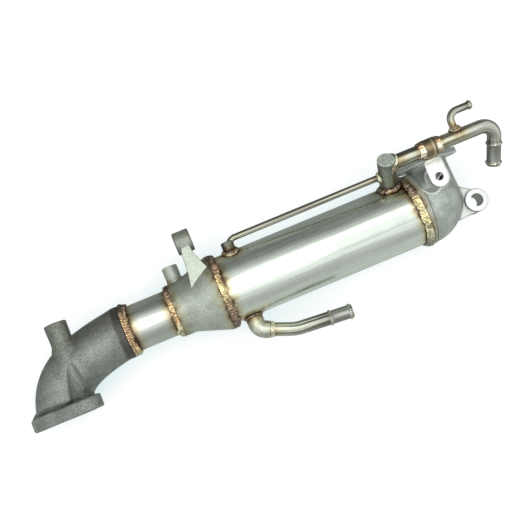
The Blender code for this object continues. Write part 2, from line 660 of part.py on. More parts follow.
def build_bleed_line():
    route = bleed_route()
    swept_pipe("bleed_tube", route, BLEED_RADIUS, BLEED_WALL, ROUND_SMALL, PIPE_STEEL)
    fitting = rod("bleed_fitting", BLEED_FITTING_BASE + ACROSS * SHELL_RADIUS * 0.5,
                  BLEED_FITTING_BASE + ACROSS * BLEED_TOP_Y, BLEED_FITTING_RADIUS, ROUND_PIPE, FITTING_STEEL,
                  edge=BLEED_FITTING_RADIUS * 0.12)
    seat = axis_rod("bleed_seat_cut", BLEED_FITTING_X - 3 * BLEED_FITTING_RADIUS,
                    BLEED_FITTING_X + 3 * BLEED_FITTING_RADIUS, SHELL_RADIUS + GAP)
    clearance = swept_cutter("bleed_clearance_cut", route, BLEED_RADIUS + GAP, ROUND_SMALL)
    passage = rod("bleed_passage_cut", BLEED_FITTING_BASE, BLEED_RISER + ACROSS * GAP,
                  BLEED_RADIUS - BLEED_WALL, ROUND_SMALL)
    cut_from(fitting, seat, clearance, passage)
    saddle_weld("bleed_fitting_braze", BLEED_FITTING_BASE, ACROSS, BLEED_FITTING_RADIUS,
                (on_axis(0), COOLER, SHELL_RADIUS), BRAZE_LEG, ROUND_PIPE, BRAZE_GOLD)
    saddle_weld("bleed_header_braze", BLEED_PORT, -BLEED_HEADING, BLEED_RADIUS,
                (HEADER_TOP, HEADER_AXIS, HEADER_RADIUS), BRAZE_LEG * 0.8, ROUND_SMALL, BRAZE_GOLD, trimmed=True)


# Coolant outlet pipe: from the header past the head, then down to its beaded mouth
OUTLET_LEG = Vector((-cos(OUTLET_LEG_TILT) * sin(OUTLET_LEG_SWING), -cos(OUTLET_LEG_TILT) * cos(OUTLET_LEG_SWING),
                     -sin(OUTLET_LEG_TILT)))
OUTLET_CORNER = HEADER_PORT + COOLER * OUTLET_PIPE_RUN
VENT_BASE = HEADER_PORT + COOLER * VENT_FROM_HEADER


def build_outlet_pipe():
    start = HEADER_PORT + COOLER * (HEADER_RADIUS - HEADER_WALL * 0.5)
    route = Route([start, OUTLET_CORNER, OUTLET_CORNER + OUTLET_LEG * OUTLET_LEG_LENGTH], OUTLET_PIPE_BEND, steps=8)
    mouth_bead = COOLANT_BEAD_WIDTH * 0.7
    pipe = swept_pipe("coolant_outlet_pipe", route, COOLANT_PIPE_RADIUS, COOLANT_PIPE_WALL, ROUND_PIPE, PIPE_STEEL,
                      (mouth_bead, mouth_bead + BEAD_SPACING), COOLANT_BEAD_HEIGHT, COOLANT_BEAD_WIDTH)
    vent_hole = rod("vent_port_cut", VENT_BASE, VENT_BASE + ACROSS * 2 * COOLANT_PIPE_RADIUS,
                    VENT_RADIUS - VENT_WALL, ROUND_SMALL)
    cut_from(pipe, vent_hole)
    saddle_weld("header_pipe_braze", HEADER_PORT, COOLER, COOLANT_PIPE_RADIUS,
                (HEADER_TOP, HEADER_AXIS, HEADER_RADIUS), BRAZE_LEG, ROUND_PIPE, BRAZE_GOLD, trimmed=True)


def build_vent_pipe():
    corner = VENT_BASE + ACROSS * VENT_RISE
    route = Route([VENT_BASE, corner, corner + COOLER * VENT_RUN], VENT_BEND, steps=6)
    bead = VENT_RADIUS
    vent = swept_pipe("vent_pipe", route, VENT_RADIUS, VENT_WALL, ROUND_SMALL, PIPE_STEEL,
                      (bead,), VENT_BEAD_HEIGHT, VENT_RADIUS)
    seat = rod("vent_seat_cut", VENT_BASE - COOLER * 3 * VENT_RADIUS, VENT_BASE + COOLER * 3 * VENT_RADIUS,
               COOLANT_PIPE_RADIUS + GAP, ROUND_PIPE)
    cut_from(vent, seat)
    saddle_weld("vent_braze", VENT_BASE, ACROSS, VENT_RADIUS, (HEADER_PORT, COOLER, COOLANT_PIPE_RADIUS),
                BRAZE_LEG, ROUND_SMALL, BRAZE_GOLD, trimmed=True)


# Pipe bracket: a strip formed over the pipe and out to a drilled tab, held by a braze on each side
STRAP_RADIUS = COOLANT_PIPE_RADIUS + GAP
STRAP_OUTER_RADIUS = STRAP_RADIUS + TAB_THICKNESS
TAB_TOP_Z = HEADER_PORT.z - COOLANT_PIPE_RADIUS + TAB_THICKNESS * 0.5
TAB_END_Y = TAB_HOLE_Y - TAB_END_MARGIN
TAB_BOTTOM_Z = TAB_TOP_Z - TAB_THICKNESS


def strap_profile():
    """The strip's edge in the YZ plane: over the pipe, down its side, and out along the tab."""
    centre_y, centre_z = HEADER_PORT.y, HEADER_PORT.z
    outer, inner = [], []
    for k in range(13):
        angle = pi * k / 12
        outer.append((centre_y + STRAP_OUTER_RADIUS * cos(angle), centre_z + STRAP_OUTER_RADIUS * sin(angle)))
        inner.append((centre_y + STRAP_RADIUS * cos(angle), centre_z + STRAP_RADIUS * sin(angle)))
    bend_y = centre_y - STRAP_OUTER_RADIUS - TAB_BEND_RADIUS
    bend_z = TAB_TOP_Z + TAB_BEND_RADIUS
    for k in range(5):
        angle = pi / 2 * k / 4
        outer.append((bend_y + TAB_BEND_RADIUS * cos(angle), bend_z - TAB_BEND_RADIUS * sin(angle)))
        wide = TAB_BEND_RADIUS + TAB_THICKNESS
        inner.append((bend_y + wide * cos(angle), bend_z - wide * sin(angle)))
    outer.append((TAB_END_Y, TAB_TOP_Z))
    inner.append((TAB_END_Y, TAB_BOTTOM_Z))
    return outer + inner[::-1]


def build_pipe_bracket():
    half = TAB_WIDTH / 2
    across_x = Matrix(((0, 0, 1, TAB_X - half), (1, 0, 0, 0), (0, 1, 0, 0), (0, 0, 0, 1)))
    bracket = prism("pipe_bracket", strap_profile(), across_x, TAB_WIDTH, BRIGHT_SHEET)
    far_y = HEADER_PORT.y + 2 * STRAP_OUTER_RADIUS
    low = Matrix.Translation((0, 0, TAB_TOP_Z - 2 * STRAP_OUTER_RADIUS))
    neck = STRAP_WIDTH / 2
    shoulder_y = HEADER_PORT.y - STRAP_OUTER_RADIUS
    tab_y = shoulder_y - (half - neck) * 0.8
    plan = [(TAB_X + half, tab_y), (TAB_X + neck, shoulder_y), (TAB_X + neck, far_y), (TAB_X - neck, far_y),
            (TAB_X - neck, shoulder_y), (TAB_X - half, tab_y)]
    plan += [(TAB_X - half * cos(pi * k / 16), TAB_END_Y + half - half * sin(pi * k / 16)) for k in range(17)]
    boolean(bracket, prism("bracket_plan_form", plan, low, 6 * STRAP_OUTER_RADIUS), "INTERSECT")
    hole = rod("tab_hole_cut", Vector((TAB_X, TAB_HOLE_Y, TAB_BOTTOM_Z - CUT_PAST)),
               Vector((TAB_X, TAB_HOLE_Y, TAB_TOP_Z + CUT_PAST)), TAB_HOLE_RADIUS, ROUND_PIPE)
    cut_from(bracket, hole)
    under = [(TAB_X - 2 * TAB_WIDTH, TAB_END_Y), (TAB_X + 2 * TAB_WIDTH, TAB_END_Y), (TAB_X + 2 * TAB_WIDTH, far_y),
             (TAB_X - 2 * TAB_WIDTH, far_y)]
    below = prism("bracket_braze_cut", under, low, HEADER_PORT.z - low.translation.z - TAB_THICKNESS)
    for name, side in (("bracket_braze_inner", -1), ("bracket_braze_outer", 1)):
        edge = Vector((TAB_X + side * neck, HEADER_PORT.y, HEADER_PORT.z))
        braze = fillet_ring(name, frame_on(edge, COOLER * side), COOLANT_PIPE_RADIUS, STRAP_BRAZE_LEG,
                            STRAP_OUTER_RADIUS - COOLANT_PIPE_RADIUS, ROUND_PIPE, BRAZE_GOLD)
        cut_from(braze, below)


# Coolant inlet: an elbow fitting under the shell and a beaded pipe that follows it
INLET_PIPE_HEADING = Vector((cos(INLET_PIPE_SLOPE), -sin(INLET_PIPE_SLOPE), 0))
INLET_PIPE_END_HEADING = Vector((cos(INLET_PIPE_END_SLOPE), -sin(INLET_PIPE_END_SLOPE), 0))
INLET_FITTING_CORNER = Vector((INLET_FITTING_X, -SHELL_RADIUS - INLET_FITTING_DROP, 0))
INLET_FITTING_END = INLET_FITTING_CORNER + INLET_PIPE_HEADING * INLET_FITTING_ARM


def build_coolant_inlet():
    inside = Vector((INLET_FITTING_X, -SHELL_RADIUS * 0.7, 0))
    arm_route = Route([inside, INLET_FITTING_CORNER, INLET_FITTING_END], INLET_FITTING_BEND, steps=6)
    fitting = solid_from_rings("coolant_inlet_fitting",
                               [ring_points(frame, INLET_FITTING_RADIUS, ROUND_BOSS)
                                for _, frame in arm_route.frames()], FITTING_STEEL)
    socket_depth = INLET_FITTING_ARM * 0.4
    bore_radius = COOLANT_PIPE_RADIUS - COOLANT_PIPE_WALL
    bore_route = Route([inside + ACROSS * CUT_PAST, INLET_FITTING_CORNER, INLET_FITTING_END], INLET_FITTING_BEND)
    bore = swept_cutter("inlet_fitting_bore_cut", bore_route, bore_radius, ROUND_PIPE)
    socket = rod("inlet_fitting_socket_cut", INLET_FITTING_END - INLET_PIPE_HEADING * socket_depth,
                 INLET_FITTING_END + INLET_PIPE_HEADING * CUT_PAST, COOLANT_PIPE_RADIUS + GAP, ROUND_PIPE)
    seat = axis_rod("inlet_seat_cut", INLET_FITTING_X - 3 * INLET_FITTING_RADIUS,
                    INLET_FITTING_X + 3 * INLET_FITTING_RADIUS, SHELL_RADIUS + GAP)
    cut_from(fitting, bore, socket, seat)
    saddle_weld("coolant_inlet_weld", Vector((INLET_FITTING_X, 0, 0)), -ACROSS, INLET_FITTING_RADIUS,
                (on_axis(0), COOLER, SHELL_RADIUS), INLET_WELD_LEG, ROUND_BOSS, WELD_BEAD)
    start = INLET_FITTING_END - INLET_PIPE_HEADING * (socket_depth - GAP)
    corner = INLET_FITTING_END + INLET_PIPE_HEADING * (INLET_PIPE_FIRST_RUN - INLET_FITTING_ARM)
    end = corner + INLET_PIPE_END_HEADING * INLET_PIPE_SECOND_RUN
    mouth_bead = COOLANT_BEAD_WIDTH * 0.7
    swept_pipe("coolant_inlet_pipe", Route([start, corner, end], INLET_PIPE_BEND, steps=18), COOLANT_PIPE_RADIUS,
               COOLANT_PIPE_WALL, ROUND_PIPE, PIPE_STEEL, (mouth_bead, mouth_bead + BEAD_SPACING),
               COOLANT_BEAD_HEIGHT, COOLANT_BEAD_WIDTH)
    fillet_ring("inlet_pipe_braze", frame_on(INLET_FITTING_END, INLET_PIPE_HEADING), COOLANT_PIPE_RADIUS,
                BRAZE_LEG * 1.5, INLET_FITTING_RADIUS - COOLANT_PIPE_RADIUS, ROUND_PIPE, BRAZE_GOLD)


# Cooler shell with its three coolant ports
def build_shell():
    profile = [(SHELL_START_X + GAP, SHELL_RADIUS), (SHELL_END_X, SHELL_RADIUS), (SHELL_END_X, SHELL_BORE),
               (SHELL_START_X + GAP, SHELL_BORE)]
    shell = turned_ring("cooler_shell", axis_frame(0), profile, ROUND_LARGE, STAINLESS)
    ports = [
        rod("shell_inlet_port_cut", Vector((INLET_FITTING_X, -SHELL_RADIUS * 0.6, 0)),
            Vector((INLET_FITTING_X, -SHELL_RADIUS - CUT_PAST, 0)), COOLANT_PIPE_RADIUS - COOLANT_PIPE_WALL,
            ROUND_PIPE),
        rod("shell_header_port_cut", HEADER_FOOT - HEADER_AXIS * HEADER_RADIUS, HEADER_FOOT + HEADER_AXIS * CUT_PAST,
            HEADER_RADIUS - HEADER_WALL, ROUND_PIPE),
        rod("shell_bleed_port_cut", BLEED_FITTING_BASE + ACROSS * SHELL_RADIUS * 0.6,
            BLEED_FITTING_BASE + ACROSS * (SHELL_RADIUS + CUT_PAST), BLEED_RADIUS - BLEED_WALL, ROUND_SMALL),
    ]
    cut_from(shell, *ports)


# Tube bundle: hexagonal rows of gas tubes through two tube sheets and the baffles
def bundle_places():
    """Tube centres as (y, z): one in the middle and hexagonal rings round it."""
    places = [(0.0, 0.0)]
    for ring in range(1, BUNDLE_RINGS + 1):
        corners = [Vector((ring * GAS_TUBE_PITCH * cos(pi / 3 * k), ring * GAS_TUBE_PITCH * sin(pi / 3 * k)))
                   for k in range(6)]
        for k in range(6):
            for step in range(ring):
                places.append(tuple(corners[k].lerp(corners[(k + 1) % 6], step / ring)))
    return places


INLET_SHEET_X = SHELL_START_X + 2 * GAP
OUTLET_SHEET_X = SHELL_END_X - TUBE_SHEET_THICKNESS - 2 * GAP


def bundle_hole_cutter(name, start_x, end_x):
    bm = bmesh.new()
    for y, z in bundle_places():
        rings = [ring_points(frame_on(Vector((x, y, z)), COOLER), GAS_TUBE_RADIUS + GAP, ROUND_BUNDLE)
                 for x in (start_x, end_x)]
        skin(bm, rings, closed=False)
    return add_object(name, bm)


def build_bundle():
    reach = TUBE_SHEET_THICKNESS * 0.4
    start, end = INLET_SHEET_X - reach, OUTLET_SHEET_X + TUBE_SHEET_THICKNESS + reach
    for number, (y, z) in enumerate(bundle_places(), 1):
        route = Route([Vector((start, y, z)), Vector((end, y, z))], 0)
        swept_pipe(f"gas_tube_{number:02d}", route, GAS_TUBE_RADIUS, GAS_TUBE_WALL, ROUND_BUNDLE, INNER_STEEL)
    disc_radius = SHELL_BORE - GAP
    for name, x in (("tube_sheet_inlet", INLET_SHEET_X), ("tube_sheet_outlet", OUTLET_SHEET_X)):
        rings = [ring_points(axis_frame(at), disc_radius, ROUND_LARGE) for at in (x, x + TUBE_SHEET_THICKNESS)]
        sheet = solid_from_rings(name, rings, INNER_STEEL)
        cut_from(sheet, bundle_hole_cutter(f"{name}_holes_cut", x - CUT_PAST, x + TUBE_SHEET_THICKNESS + CUT_PAST))
    span = OUTLET_SHEET_X - INLET_SHEET_X
    for number in range(1, BAFFLE_COUNT + 1):
        x = INLET_SHEET_X + span * number / (BAFFLE_COUNT + 1)
        side = 1 if number % 2 else -1
        rings = [ring_points(axis_frame(at), disc_radius, ROUND_LARGE) for at in (x, x + BAFFLE_THICKNESS)]
        baffle = solid_from_rings(f"baffle_{number}", rings, INNER_STEEL)
        window_y = side * BAFFLE_WINDOW
        far_y = side * 2 * SHELL_RADIUS
        outline = [(-2 * SHELL_RADIUS, window_y), (2 * SHELL_RADIUS, window_y), (2 * SHELL_RADIUS, far_y),
                   (-2 * SHELL_RADIUS, far_y)]
        across = Matrix(((0, 0, 1, x - CUT_PAST), (0, 1, 0, 0), (1, 0, 0, 0), (0, 0, 0, 1)))
        window = prism(f"baffle_{number}_window_cut", outline, across, BAFFLE_THICKNESS + 2 * CUT_PAST)
        holes = bundle_hole_cutter(f"baffle_{number}_holes_cut", x - CUT_PAST, x + BAFFLE_THICKNESS + CUT_PAST)
        cut_from(baffle, window, holes)


# Outlet head: rings fan round an inner corner from the slanted seam to the neck, then run up to the flange
def head_rings(inset, sides, past_ends=0.0):
    half_height = HEAD_COLLAR_RADIUS - HEAD_FAN_INSET
    corner = Vector((HEAD_NECK_X - HEAD_NECK_RADIUS, half_height, 0))
    wall_x = HEAD_NECK_X + HEAD_NECK_RADIUS
    turn_radius = half_height + HEAD_TURN_RISE
    turn = Vector((wall_x - turn_radius, HEAD_TURN_RISE, 0))
    rings = []
    seam = ring_points(axis_frame(SEAM_X), HEAD_COLLAR_RADIUS - inset, sides)
    if past_ends:
        seam = ring_points(axis_frame(SHELL_END_X - past_ends), SHELL_BORE, sides)
        rings.append(seam)
    else:
        rings.append([point - COOLER * (point.y * tan(SEAM_SLANT)) for point in seam])
        rings.append(ring_points(axis_frame(SEAM_X + HEAD_LAND), HEAD_COLLAR_RADIUS, sides))
    for k in range(HEAD_TURN_STEPS + 1):
        angle = -pi / 2 + pi / 2 * k / HEAD_TURN_STEPS
        ray = Vector((cos(angle), sin(angle), 0))
        offset = corner - turn
        along = -ray.dot(offset) + sqrt(ray.dot(offset) ** 2 - offset.dot(offset) + turn_radius ** 2)
        if (corner + ray * along).y > turn.y:
            along = (wall_x - corner.x) / ray.x
        centre = corner + ray * (along / 2)
        heading = Vector((-ray.y, ray.x, 0))
        rings.append(ring_points(frame_on(centre, heading), along / 2 - inset, sides))
    last = OUTLET_FLANGE_Y + past_ends
    rings.append(ring_points(frame_on(Vector((HEAD_NECK_X, last, 0)), ACROSS), HEAD_NECK_RADIUS - inset, sides))
    return rings


def build_outlet_head():
    head = solid_from_rings("outlet_head", head_rings(0.0, ROUND_CAST), CAST_HEAD)
    half = OUTLET_BOLT_PITCH / 2
    circles = [(HEAD_NECK_X - half, 0, OUTLET_EAR_RADIUS), (HEAD_NECK_X + half, 0, OUTLET_EAR_RADIUS),
               (HEAD_NECK_X, 0, OUTLET_FLANGE_BODY_RADIUS)]
    back_y = OUTLET_FLANGE_Y - OUTLET_FLANGE_THICKNESS
    face = Matrix(((1, 0, 0, 0), (0, 0, 1, back_y), (0, 1, 0, 0), (0, 0, 0, 1)))
    flange = edged_plate("outlet_flange_form", circles, 40, face, OUTLET_FLANGE_THICKNESS, OUTLET_FLANGE_EDGE)
    web_low = Matrix.Translation((0, 0, WEB_TOP_Z - WEB_THICKNESS))
    web_circles = [(EAR_X, EAR_Y, EAR_RING_RADIUS - 2 * GAP), (HEAD_NECK_X, WEB_ROOT_Y, WEB_ROOT_RADIUS),
                   (HEAD_NECK_X + WEB_SIDE_FROM_NECK, WEB_SIDE_Y, WEB_SIDE_RADIUS)]
    web = prism("ear_web_form", hull_outline(web_circles, 36), web_low, WEB_THICKNESS)
    ring = rod("ear_ring_form", Vector((EAR_X, EAR_Y, EAR_BOTTOM_Z)), Vector((EAR_X, EAR_Y, EAR_TOP_Z)),
               EAR_RING_RADIUS, ROUND_CAST, edge=EAR_RING_RADIUS * 0.05)
    boss_top = TAB_BOTTOM_Z - GAP
    boss_x = TAB_X - BRACKET_BOSS_SHIFT
    boss = rod("bracket_boss_form", Vector((boss_x, TAB_HOLE_Y, boss_top - BRACKET_BOSS_RADIUS)),
               Vector((boss_x, TAB_HOLE_Y, boss_top)), BRACKET_BOSS_RADIUS, ROUND_BOSS,
               edge=BRACKET_BOSS_RADIUS * 0.06)
    join_to(head, flange, web, ring, boss)
    bore = solid_from_rings("head_bore_cut", head_rings(HEAD_WALL, ROUND_CAST, CUT_PAST))
    socket = axis_rod("head_socket_cut", SEAM_X - 3 * CUT_PAST, SHELL_END_X + GAP, SHELL_RADIUS + GAP)
    holes = [rod(f"outlet_bolt_cut_{number}", Vector((HEAD_NECK_X + side * half, back_y - 3 * GAP, 0)),
                 Vector((HEAD_NECK_X + side * half, OUTLET_FLANGE_Y + CUT_PAST, 0)), OUTLET_BOLT_HOLE_RADIUS,
                 ROUND_PIPE) for number, side in enumerate((-1, 1))]
    ear_hole = rod("ear_hole_cut", Vector((EAR_X, EAR_Y, EAR_BOTTOM_Z - CUT_PAST)),
                   Vector((EAR_X, EAR_Y, EAR_TOP_Z + CUT_PAST)), EAR_HOLE_RADIUS, ROUND_BOSS)
    spot_face = rod("bracket_seat_cut", Vector((boss_x, TAB_HOLE_Y, boss_top)),
                    Vector((boss_x, TAB_HOLE_Y, boss_top + BRACKET_BOSS_RADIUS)), BRACKET_BOSS_RADIUS + GAP, ROUND_BOSS)
    thread = rod("bracket_thread_cut", Vector((TAB_X, TAB_HOLE_Y, boss_top - BRACKET_THREAD_DEPTH)),
                 Vector((TAB_X, TAB_HOLE_Y, boss_top + CUT_PAST)), BRACKET_THREAD_RADIUS, ROUND_PIPE)
    cut_from(head, bore, socket, ear_hole, spot_face, thread, *holes)


# Welds on the cooler axis, each a fillet in the corner between a tube and a casting's end face
def build_axis_welds():
    rise = COLLAR_RADIUS - TUBE_RADIUS
    fillet_ring("weld_elbow_to_tube", axis_frame(TUBE_START_X), TUBE_RADIUS, TUBE_WELD_LEG, rise, ROUND_LARGE,
                WELD_BEAD)
    fillet_ring("weld_tube_to_cone", axis_frame(CONE_START_X, -COOLER), TUBE_RADIUS, TUBE_WELD_LEG, rise,
                ROUND_LARGE, WELD_BEAD)
    fillet_ring("weld_cone_to_shell", axis_frame(0), SHELL_RADIUS, CONE_WELD_LEG, CONE_END_RADIUS - SHELL_RADIUS,
                ROUND_LARGE, WELD_BEAD)
    fillet_ring("weld_shell_to_head", axis_frame(SEAM_X, -COOLER), SHELL_RADIUS, SEAM_WELD_LEG,
                HEAD_COLLAR_RADIUS - SHELL_RADIUS, ROUND_LARGE, WELD_BEAD, SEAM_SLANT)


build_inlet_elbow()
build_inlet_tube()
build_inlet_cone()
build_shell()
build_bundle()
build_outlet_head()
build_axis_welds()
build_header()
build_bleed_line()
build_outlet_pipe()
build_vent_pipe()
build_pipe_bracket()
build_coolant_inlet()
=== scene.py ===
"""An exhaust gas recirculation pipe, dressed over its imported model: castings, cooler, welds and coolant pipes."""

from functools import partial
from math import atan, cos, exp, pi, radians, sin, sqrt, tan

import bmesh
import bpy
from mathutils import Matrix, Vector, noise


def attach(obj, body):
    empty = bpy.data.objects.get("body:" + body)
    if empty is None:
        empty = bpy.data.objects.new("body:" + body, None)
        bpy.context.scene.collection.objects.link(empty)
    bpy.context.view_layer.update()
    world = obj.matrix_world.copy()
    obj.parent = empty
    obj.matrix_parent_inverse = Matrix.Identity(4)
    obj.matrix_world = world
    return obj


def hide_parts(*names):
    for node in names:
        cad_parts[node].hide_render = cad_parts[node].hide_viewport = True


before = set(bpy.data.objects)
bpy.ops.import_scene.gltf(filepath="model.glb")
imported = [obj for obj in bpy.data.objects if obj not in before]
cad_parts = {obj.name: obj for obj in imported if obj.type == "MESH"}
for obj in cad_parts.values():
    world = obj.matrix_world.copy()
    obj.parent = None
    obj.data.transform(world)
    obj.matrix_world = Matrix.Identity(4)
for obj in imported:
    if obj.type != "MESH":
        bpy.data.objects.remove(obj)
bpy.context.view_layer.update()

# Cast inlet elbow. Sand-cast iron: a curved pipe with a two-hole flange, a blind plug boss,
# and a pocket milled down through it so that the near bolt can be turned. Its collar is bored for the tube.
AXIS_Y = 0.0459
TUBE_START = 0.0660
TUBE_BORE = 0.01675
TUBE_SOCKET = 0.01855
COLLAR_RADIUS = 0.0212
FLANGE_THICKNESS = 0.0103
BOLT_REACH = Vector((0.01974, 0, 0.02312))
ALONG, ACROSS, UP = Vector((1, 0, 0)), Vector((0, 1, 0)), Vector((0, 0, 1))


def on_axis(x):
    return Vector((x, AXIS_Y, 0))


def node(tree, kind, inputs=(), **settings):
    """Add a shader node; inputs may be values or the sockets that feed them."""
    made = tree.nodes.new("ShaderNode" + kind)
    for key, value in settings.items():
        setattr(made, key, value)
    for socket, value in dict(inputs).items():
        if isinstance(value, bpy.types.NodeSocket):
            tree.links.new(value, made.inputs[socket])
        else:
            made.inputs[socket].default_value = value
    return made


def new_metal(name, metallic, roughness):
    """A metal with its shader and its place in metres."""
    metal = bpy.data.materials.new(name)
    metal.use_nodes = True
    shader = metal.node_tree.nodes["Principled BSDF"]
    shader.inputs["Metallic"].default_value = metallic
    shader.inputs["Roughness"].default_value = roughness
    return metal, shader, node(metal.node_tree, "TexCoord").outputs["Object"]


def feed(shader, value, socket="Base Color"):
    shader.id_data.links.new(value, shader.inputs[socket])


def grain(place, size, detail=3.0, stretch=(1, 1, 1)):
    """Noise whose lumps are about the given size in metres, longer where the stretch is under 1."""
    tree = place.id_data
    scaled = node(tree, "Mapping", {"Vector": place, "Scale": stretch}).outputs["Vector"]
    return node(tree, "TexNoise", {"Vector": scaled, "Scale": 1 / size, "Detail": detail}).outputs["Fac"]


def step(value, start, end, low=0.0, high=1.0):
    """A smooth step from low to high as the value goes from start to end."""
    inputs = {"Value": value, "From Min": start, "From Max": end, "To Min": low, "To Max": high}
    return node(value.id_data, "MapRange", inputs, interpolation_type="SMOOTHSTEP").outputs["Result"]


def calc(operation, first, *others):
    """Work out one value from several, each a number or a socket."""
    for other in others:
        socket = first if isinstance(first, bpy.types.NodeSocket) else other
        first = node(socket.id_data, "Math", {0: first, 1: other}, operation=operation).outputs[0]
    return first


plus, less, times, least, most = (
    partial(calc, operation) for operation in ("ADD", "SUBTRACT", "MULTIPLY", "MINIMUM", "MAXIMUM"))


def off(value, middle):
    """How far a value is from a middle, on either side."""
    return calc("ABSOLUTE", less(value, middle), 0.0)


def band(value, start, risen, falling, end):
    """A smooth band that rises from start, is full until falling, and is gone at the end."""
    return times(step(value, start, risen), step(value, end, falling))


def uneven(place, size, reach, detail=2.0):
    """A length that wanders between minus and plus the reach."""
    return step(grain(place, size, detail), 0.3, 0.7, -reach, reach)


def apart(place, *points):
    """The distance from the nearest of some points."""
    return least(*[node(place.id_data, "VectorMath", {0: place, 1: point}, operation="DISTANCE").outputs["Value"]
                   for point in points])


def passed(place, start, way):
    """The distance gone from a start along a way."""
    gone = node(place.id_data, "VectorMath", {0: place, 1: start}, operation="SUBTRACT").outputs[0]
    return node(place.id_data, "VectorMath", {0: gone, 1: way}, operation="DOT_PRODUCT").outputs["Value"]


def blend(share, first, second, kind="MIX"):
    """Mix two colours by a share."""
    socket = bpy.types.NodeSocket
    first, second = [colour if isinstance(colour, socket) else (*colour, 1) for colour in (first, second)]
    tree = next(value.id_data for value in (share, first) if isinstance(value, socket))
    return node(tree, "Mix", {0: share, 6: first, 7: second}, data_type="RGBA", blend_type=kind).outputs[2]


def ramp(share, *stops):
    """A colour that goes through (position, colour) stops, the first at 0 and the last at 1."""
    made = node(share.id_data, "ValToRGB", {"Fac": share})
    marks = made.color_ramp.elements
    for position, colour in stops[1:-1]:
        marks.new(position)
    for mark, (position, colour) in zip(marks, stops):
        mark.color = (*colour, 1)
    return made.outputs["Color"]


def roughen(shader, parts):
    """Feed the shader's normal with bumps, each a (height socket, strength, depth in metres)."""
    normal = None
    for height, strength, depth in parts:
        inputs = {"Height": height, "Strength": strength, "Distance": depth}
        if normal:
            inputs["Normal"] = normal
        normal = node(shader.id_data, "Bump", inputs).outputs["Normal"]
    feed(shader, normal, "Normal")


def split(place):
    return node(place.id_data, "SeparateXYZ", {0: place}).outputs


def cast_skin(name, dark, light, sand, metallic, roughness):
    """Cast iron as it leaves the sand: two tones in blotches, fine grains and pits."""
    metal, shader, place = new_metal(name, metallic, roughness)
    clouds = step(grain(place, 0.012, 4.0), 0.35, 0.65)
    speckle = step(grain(place, sand * 1.4, 2.0), 0.38, 0.66)
    dusted = blend(times(speckle, 0.55), blend(clouds, dark, light), [c * 1.6 for c in light])
    pits = step(grain(place, sand * 2.3, 2.0), 0.30, 0.42, 0.55, 0.0)
    skin = blend(pits, dusted, [c * 0.45 for c in dark])
    feed(shader, step(speckle, 0.0, 1.0, roughness + 0.06, roughness - 0.10), "Roughness")
    roughen(shader, [(grain(place, sand, 4.0), 0.55, sand * 0.9), (grain(place, sand * 5, 2.0), 0.30, sand * 1.6)])
    return metal, shader, place, skin


def rail(points, upright=Vector((0, 0, 1))):
    """A frame square to a path at each of its points, carried along without twist."""
    frames = []
    if abs((points[1] - points[0]).normalized().dot(upright)) > 0.99:
        upright = Vector((1, 0, 0))
    for k, here in enumerate(points):
        heading = (points[min(k + 1, len(points) - 1)] - points[max(k - 1, 0)]).normalized()
        upright = (upright - heading * upright.dot(heading)).normalized()
        turned = Matrix((upright, heading.cross(upright), heading)).transposed().to_4x4()
        turned.translation = here
        frames.append(turned)
    return frames


def sweep(bm, stations, sides, hollow=False, mark=None):
    """Carry a circle through (frame, radius) stations; a hollow sweep ends where it began, a solid one is capped."""
    placed = [turned @ Matrix.Diagonal((radius, radius, 1, 1)) for turned, radius in stations]
    verts = bmesh.ops.create_circle(bm, segments=sides, radius=1.0, matrix=placed[0])["verts"]
    if mark:
        mark(0, verts)
    first = list({edge for vert in verts for edge in vert.link_edges})
    loop = first
    for count, (before, after) in enumerate(zip(placed, placed[1:]), 1):
        grown = bmesh.ops.extrude_edge_only(bm, edges=loop)["geom"]
        verts = [part for part in grown if isinstance(part, bmesh.types.BMVert)]
        fresh = set(verts)
        loop = [part for part in grown if isinstance(part, bmesh.types.BMEdge)
                and part.verts[0] in fresh and part.verts[1] in fresh]
        bmesh.ops.transform(bm, matrix=after @ before.inverted(), verts=verts)
        if mark:
            mark(count, verts)
    if hollow:
        bmesh.ops.bridge_loops(bm, edges=first + loop)
    else:
        bmesh.ops.holes_fill(bm, edges=first, sides=0)
        bmesh.ops.holes_fill(bm, edges=loop, sides=0)


def swept(*shape, **how):
    """A sweep as a blank of its own."""
    bm = bmesh.new()
    sweep(bm, *shape, **how)
    return raw(bm)


def bar(start, end, radius, sides=64, end_radius=None, edge=0.0, segments=3):
    """A round bar or taper between two points, with rounded rims where an edge is given."""
    bm = bmesh.new()
    path = rail([Vector(start), Vector(end)])
    sweep(bm, [(path[0], radius), (path[1], radius if end_radius is None else end_radius)], sides)
    if edge:
        round_over(bm, edge, segments)
    return raw(bm)


def hull(circles, low, high, way=2):
    """A plate with straight sides drawn round circles, each a (centre, radius), between two levels of one axis."""
    bm = bmesh.new()
    turned = Matrix.Rotation(-pi / 2, 4, "X") if way == 1 else Matrix()
    for centre, radius in circles:
        for level in (low, high):
            lifted = Vector(centre)
            lifted[way] = level
            bmesh.ops.create_circle(bm, segments=96, radius=radius, matrix=Matrix.Translation(lifted) @ turned)
    made = bmesh.ops.convex_hull(bm, input=bm.verts)
    inner = [part for part in made["geom_interior"] if isinstance(part, bmesh.types.BMVert)]
    bmesh.ops.delete(bm, geom=inner, context="VERTS")
    bmesh.ops.delete(bm, geom=[edge for edge in bm.edges if edge.is_wire], context="EDGES")
    bmesh.ops.dissolve_limit(bm, angle_limit=radians(0.5), verts=bm.verts, edges=bm.edges)
    return bm


def round_over(bm, width, segments=3):
    """Round the sharp edges of a turned or milled piece."""
    edges = [edge for edge in bm.edges if edge.calc_face_angle(0) > 1]
    bmesh.ops.bevel(bm, geom=edges, offset=width, segments=segments, profile=0.5, affect="EDGES", material=-1)


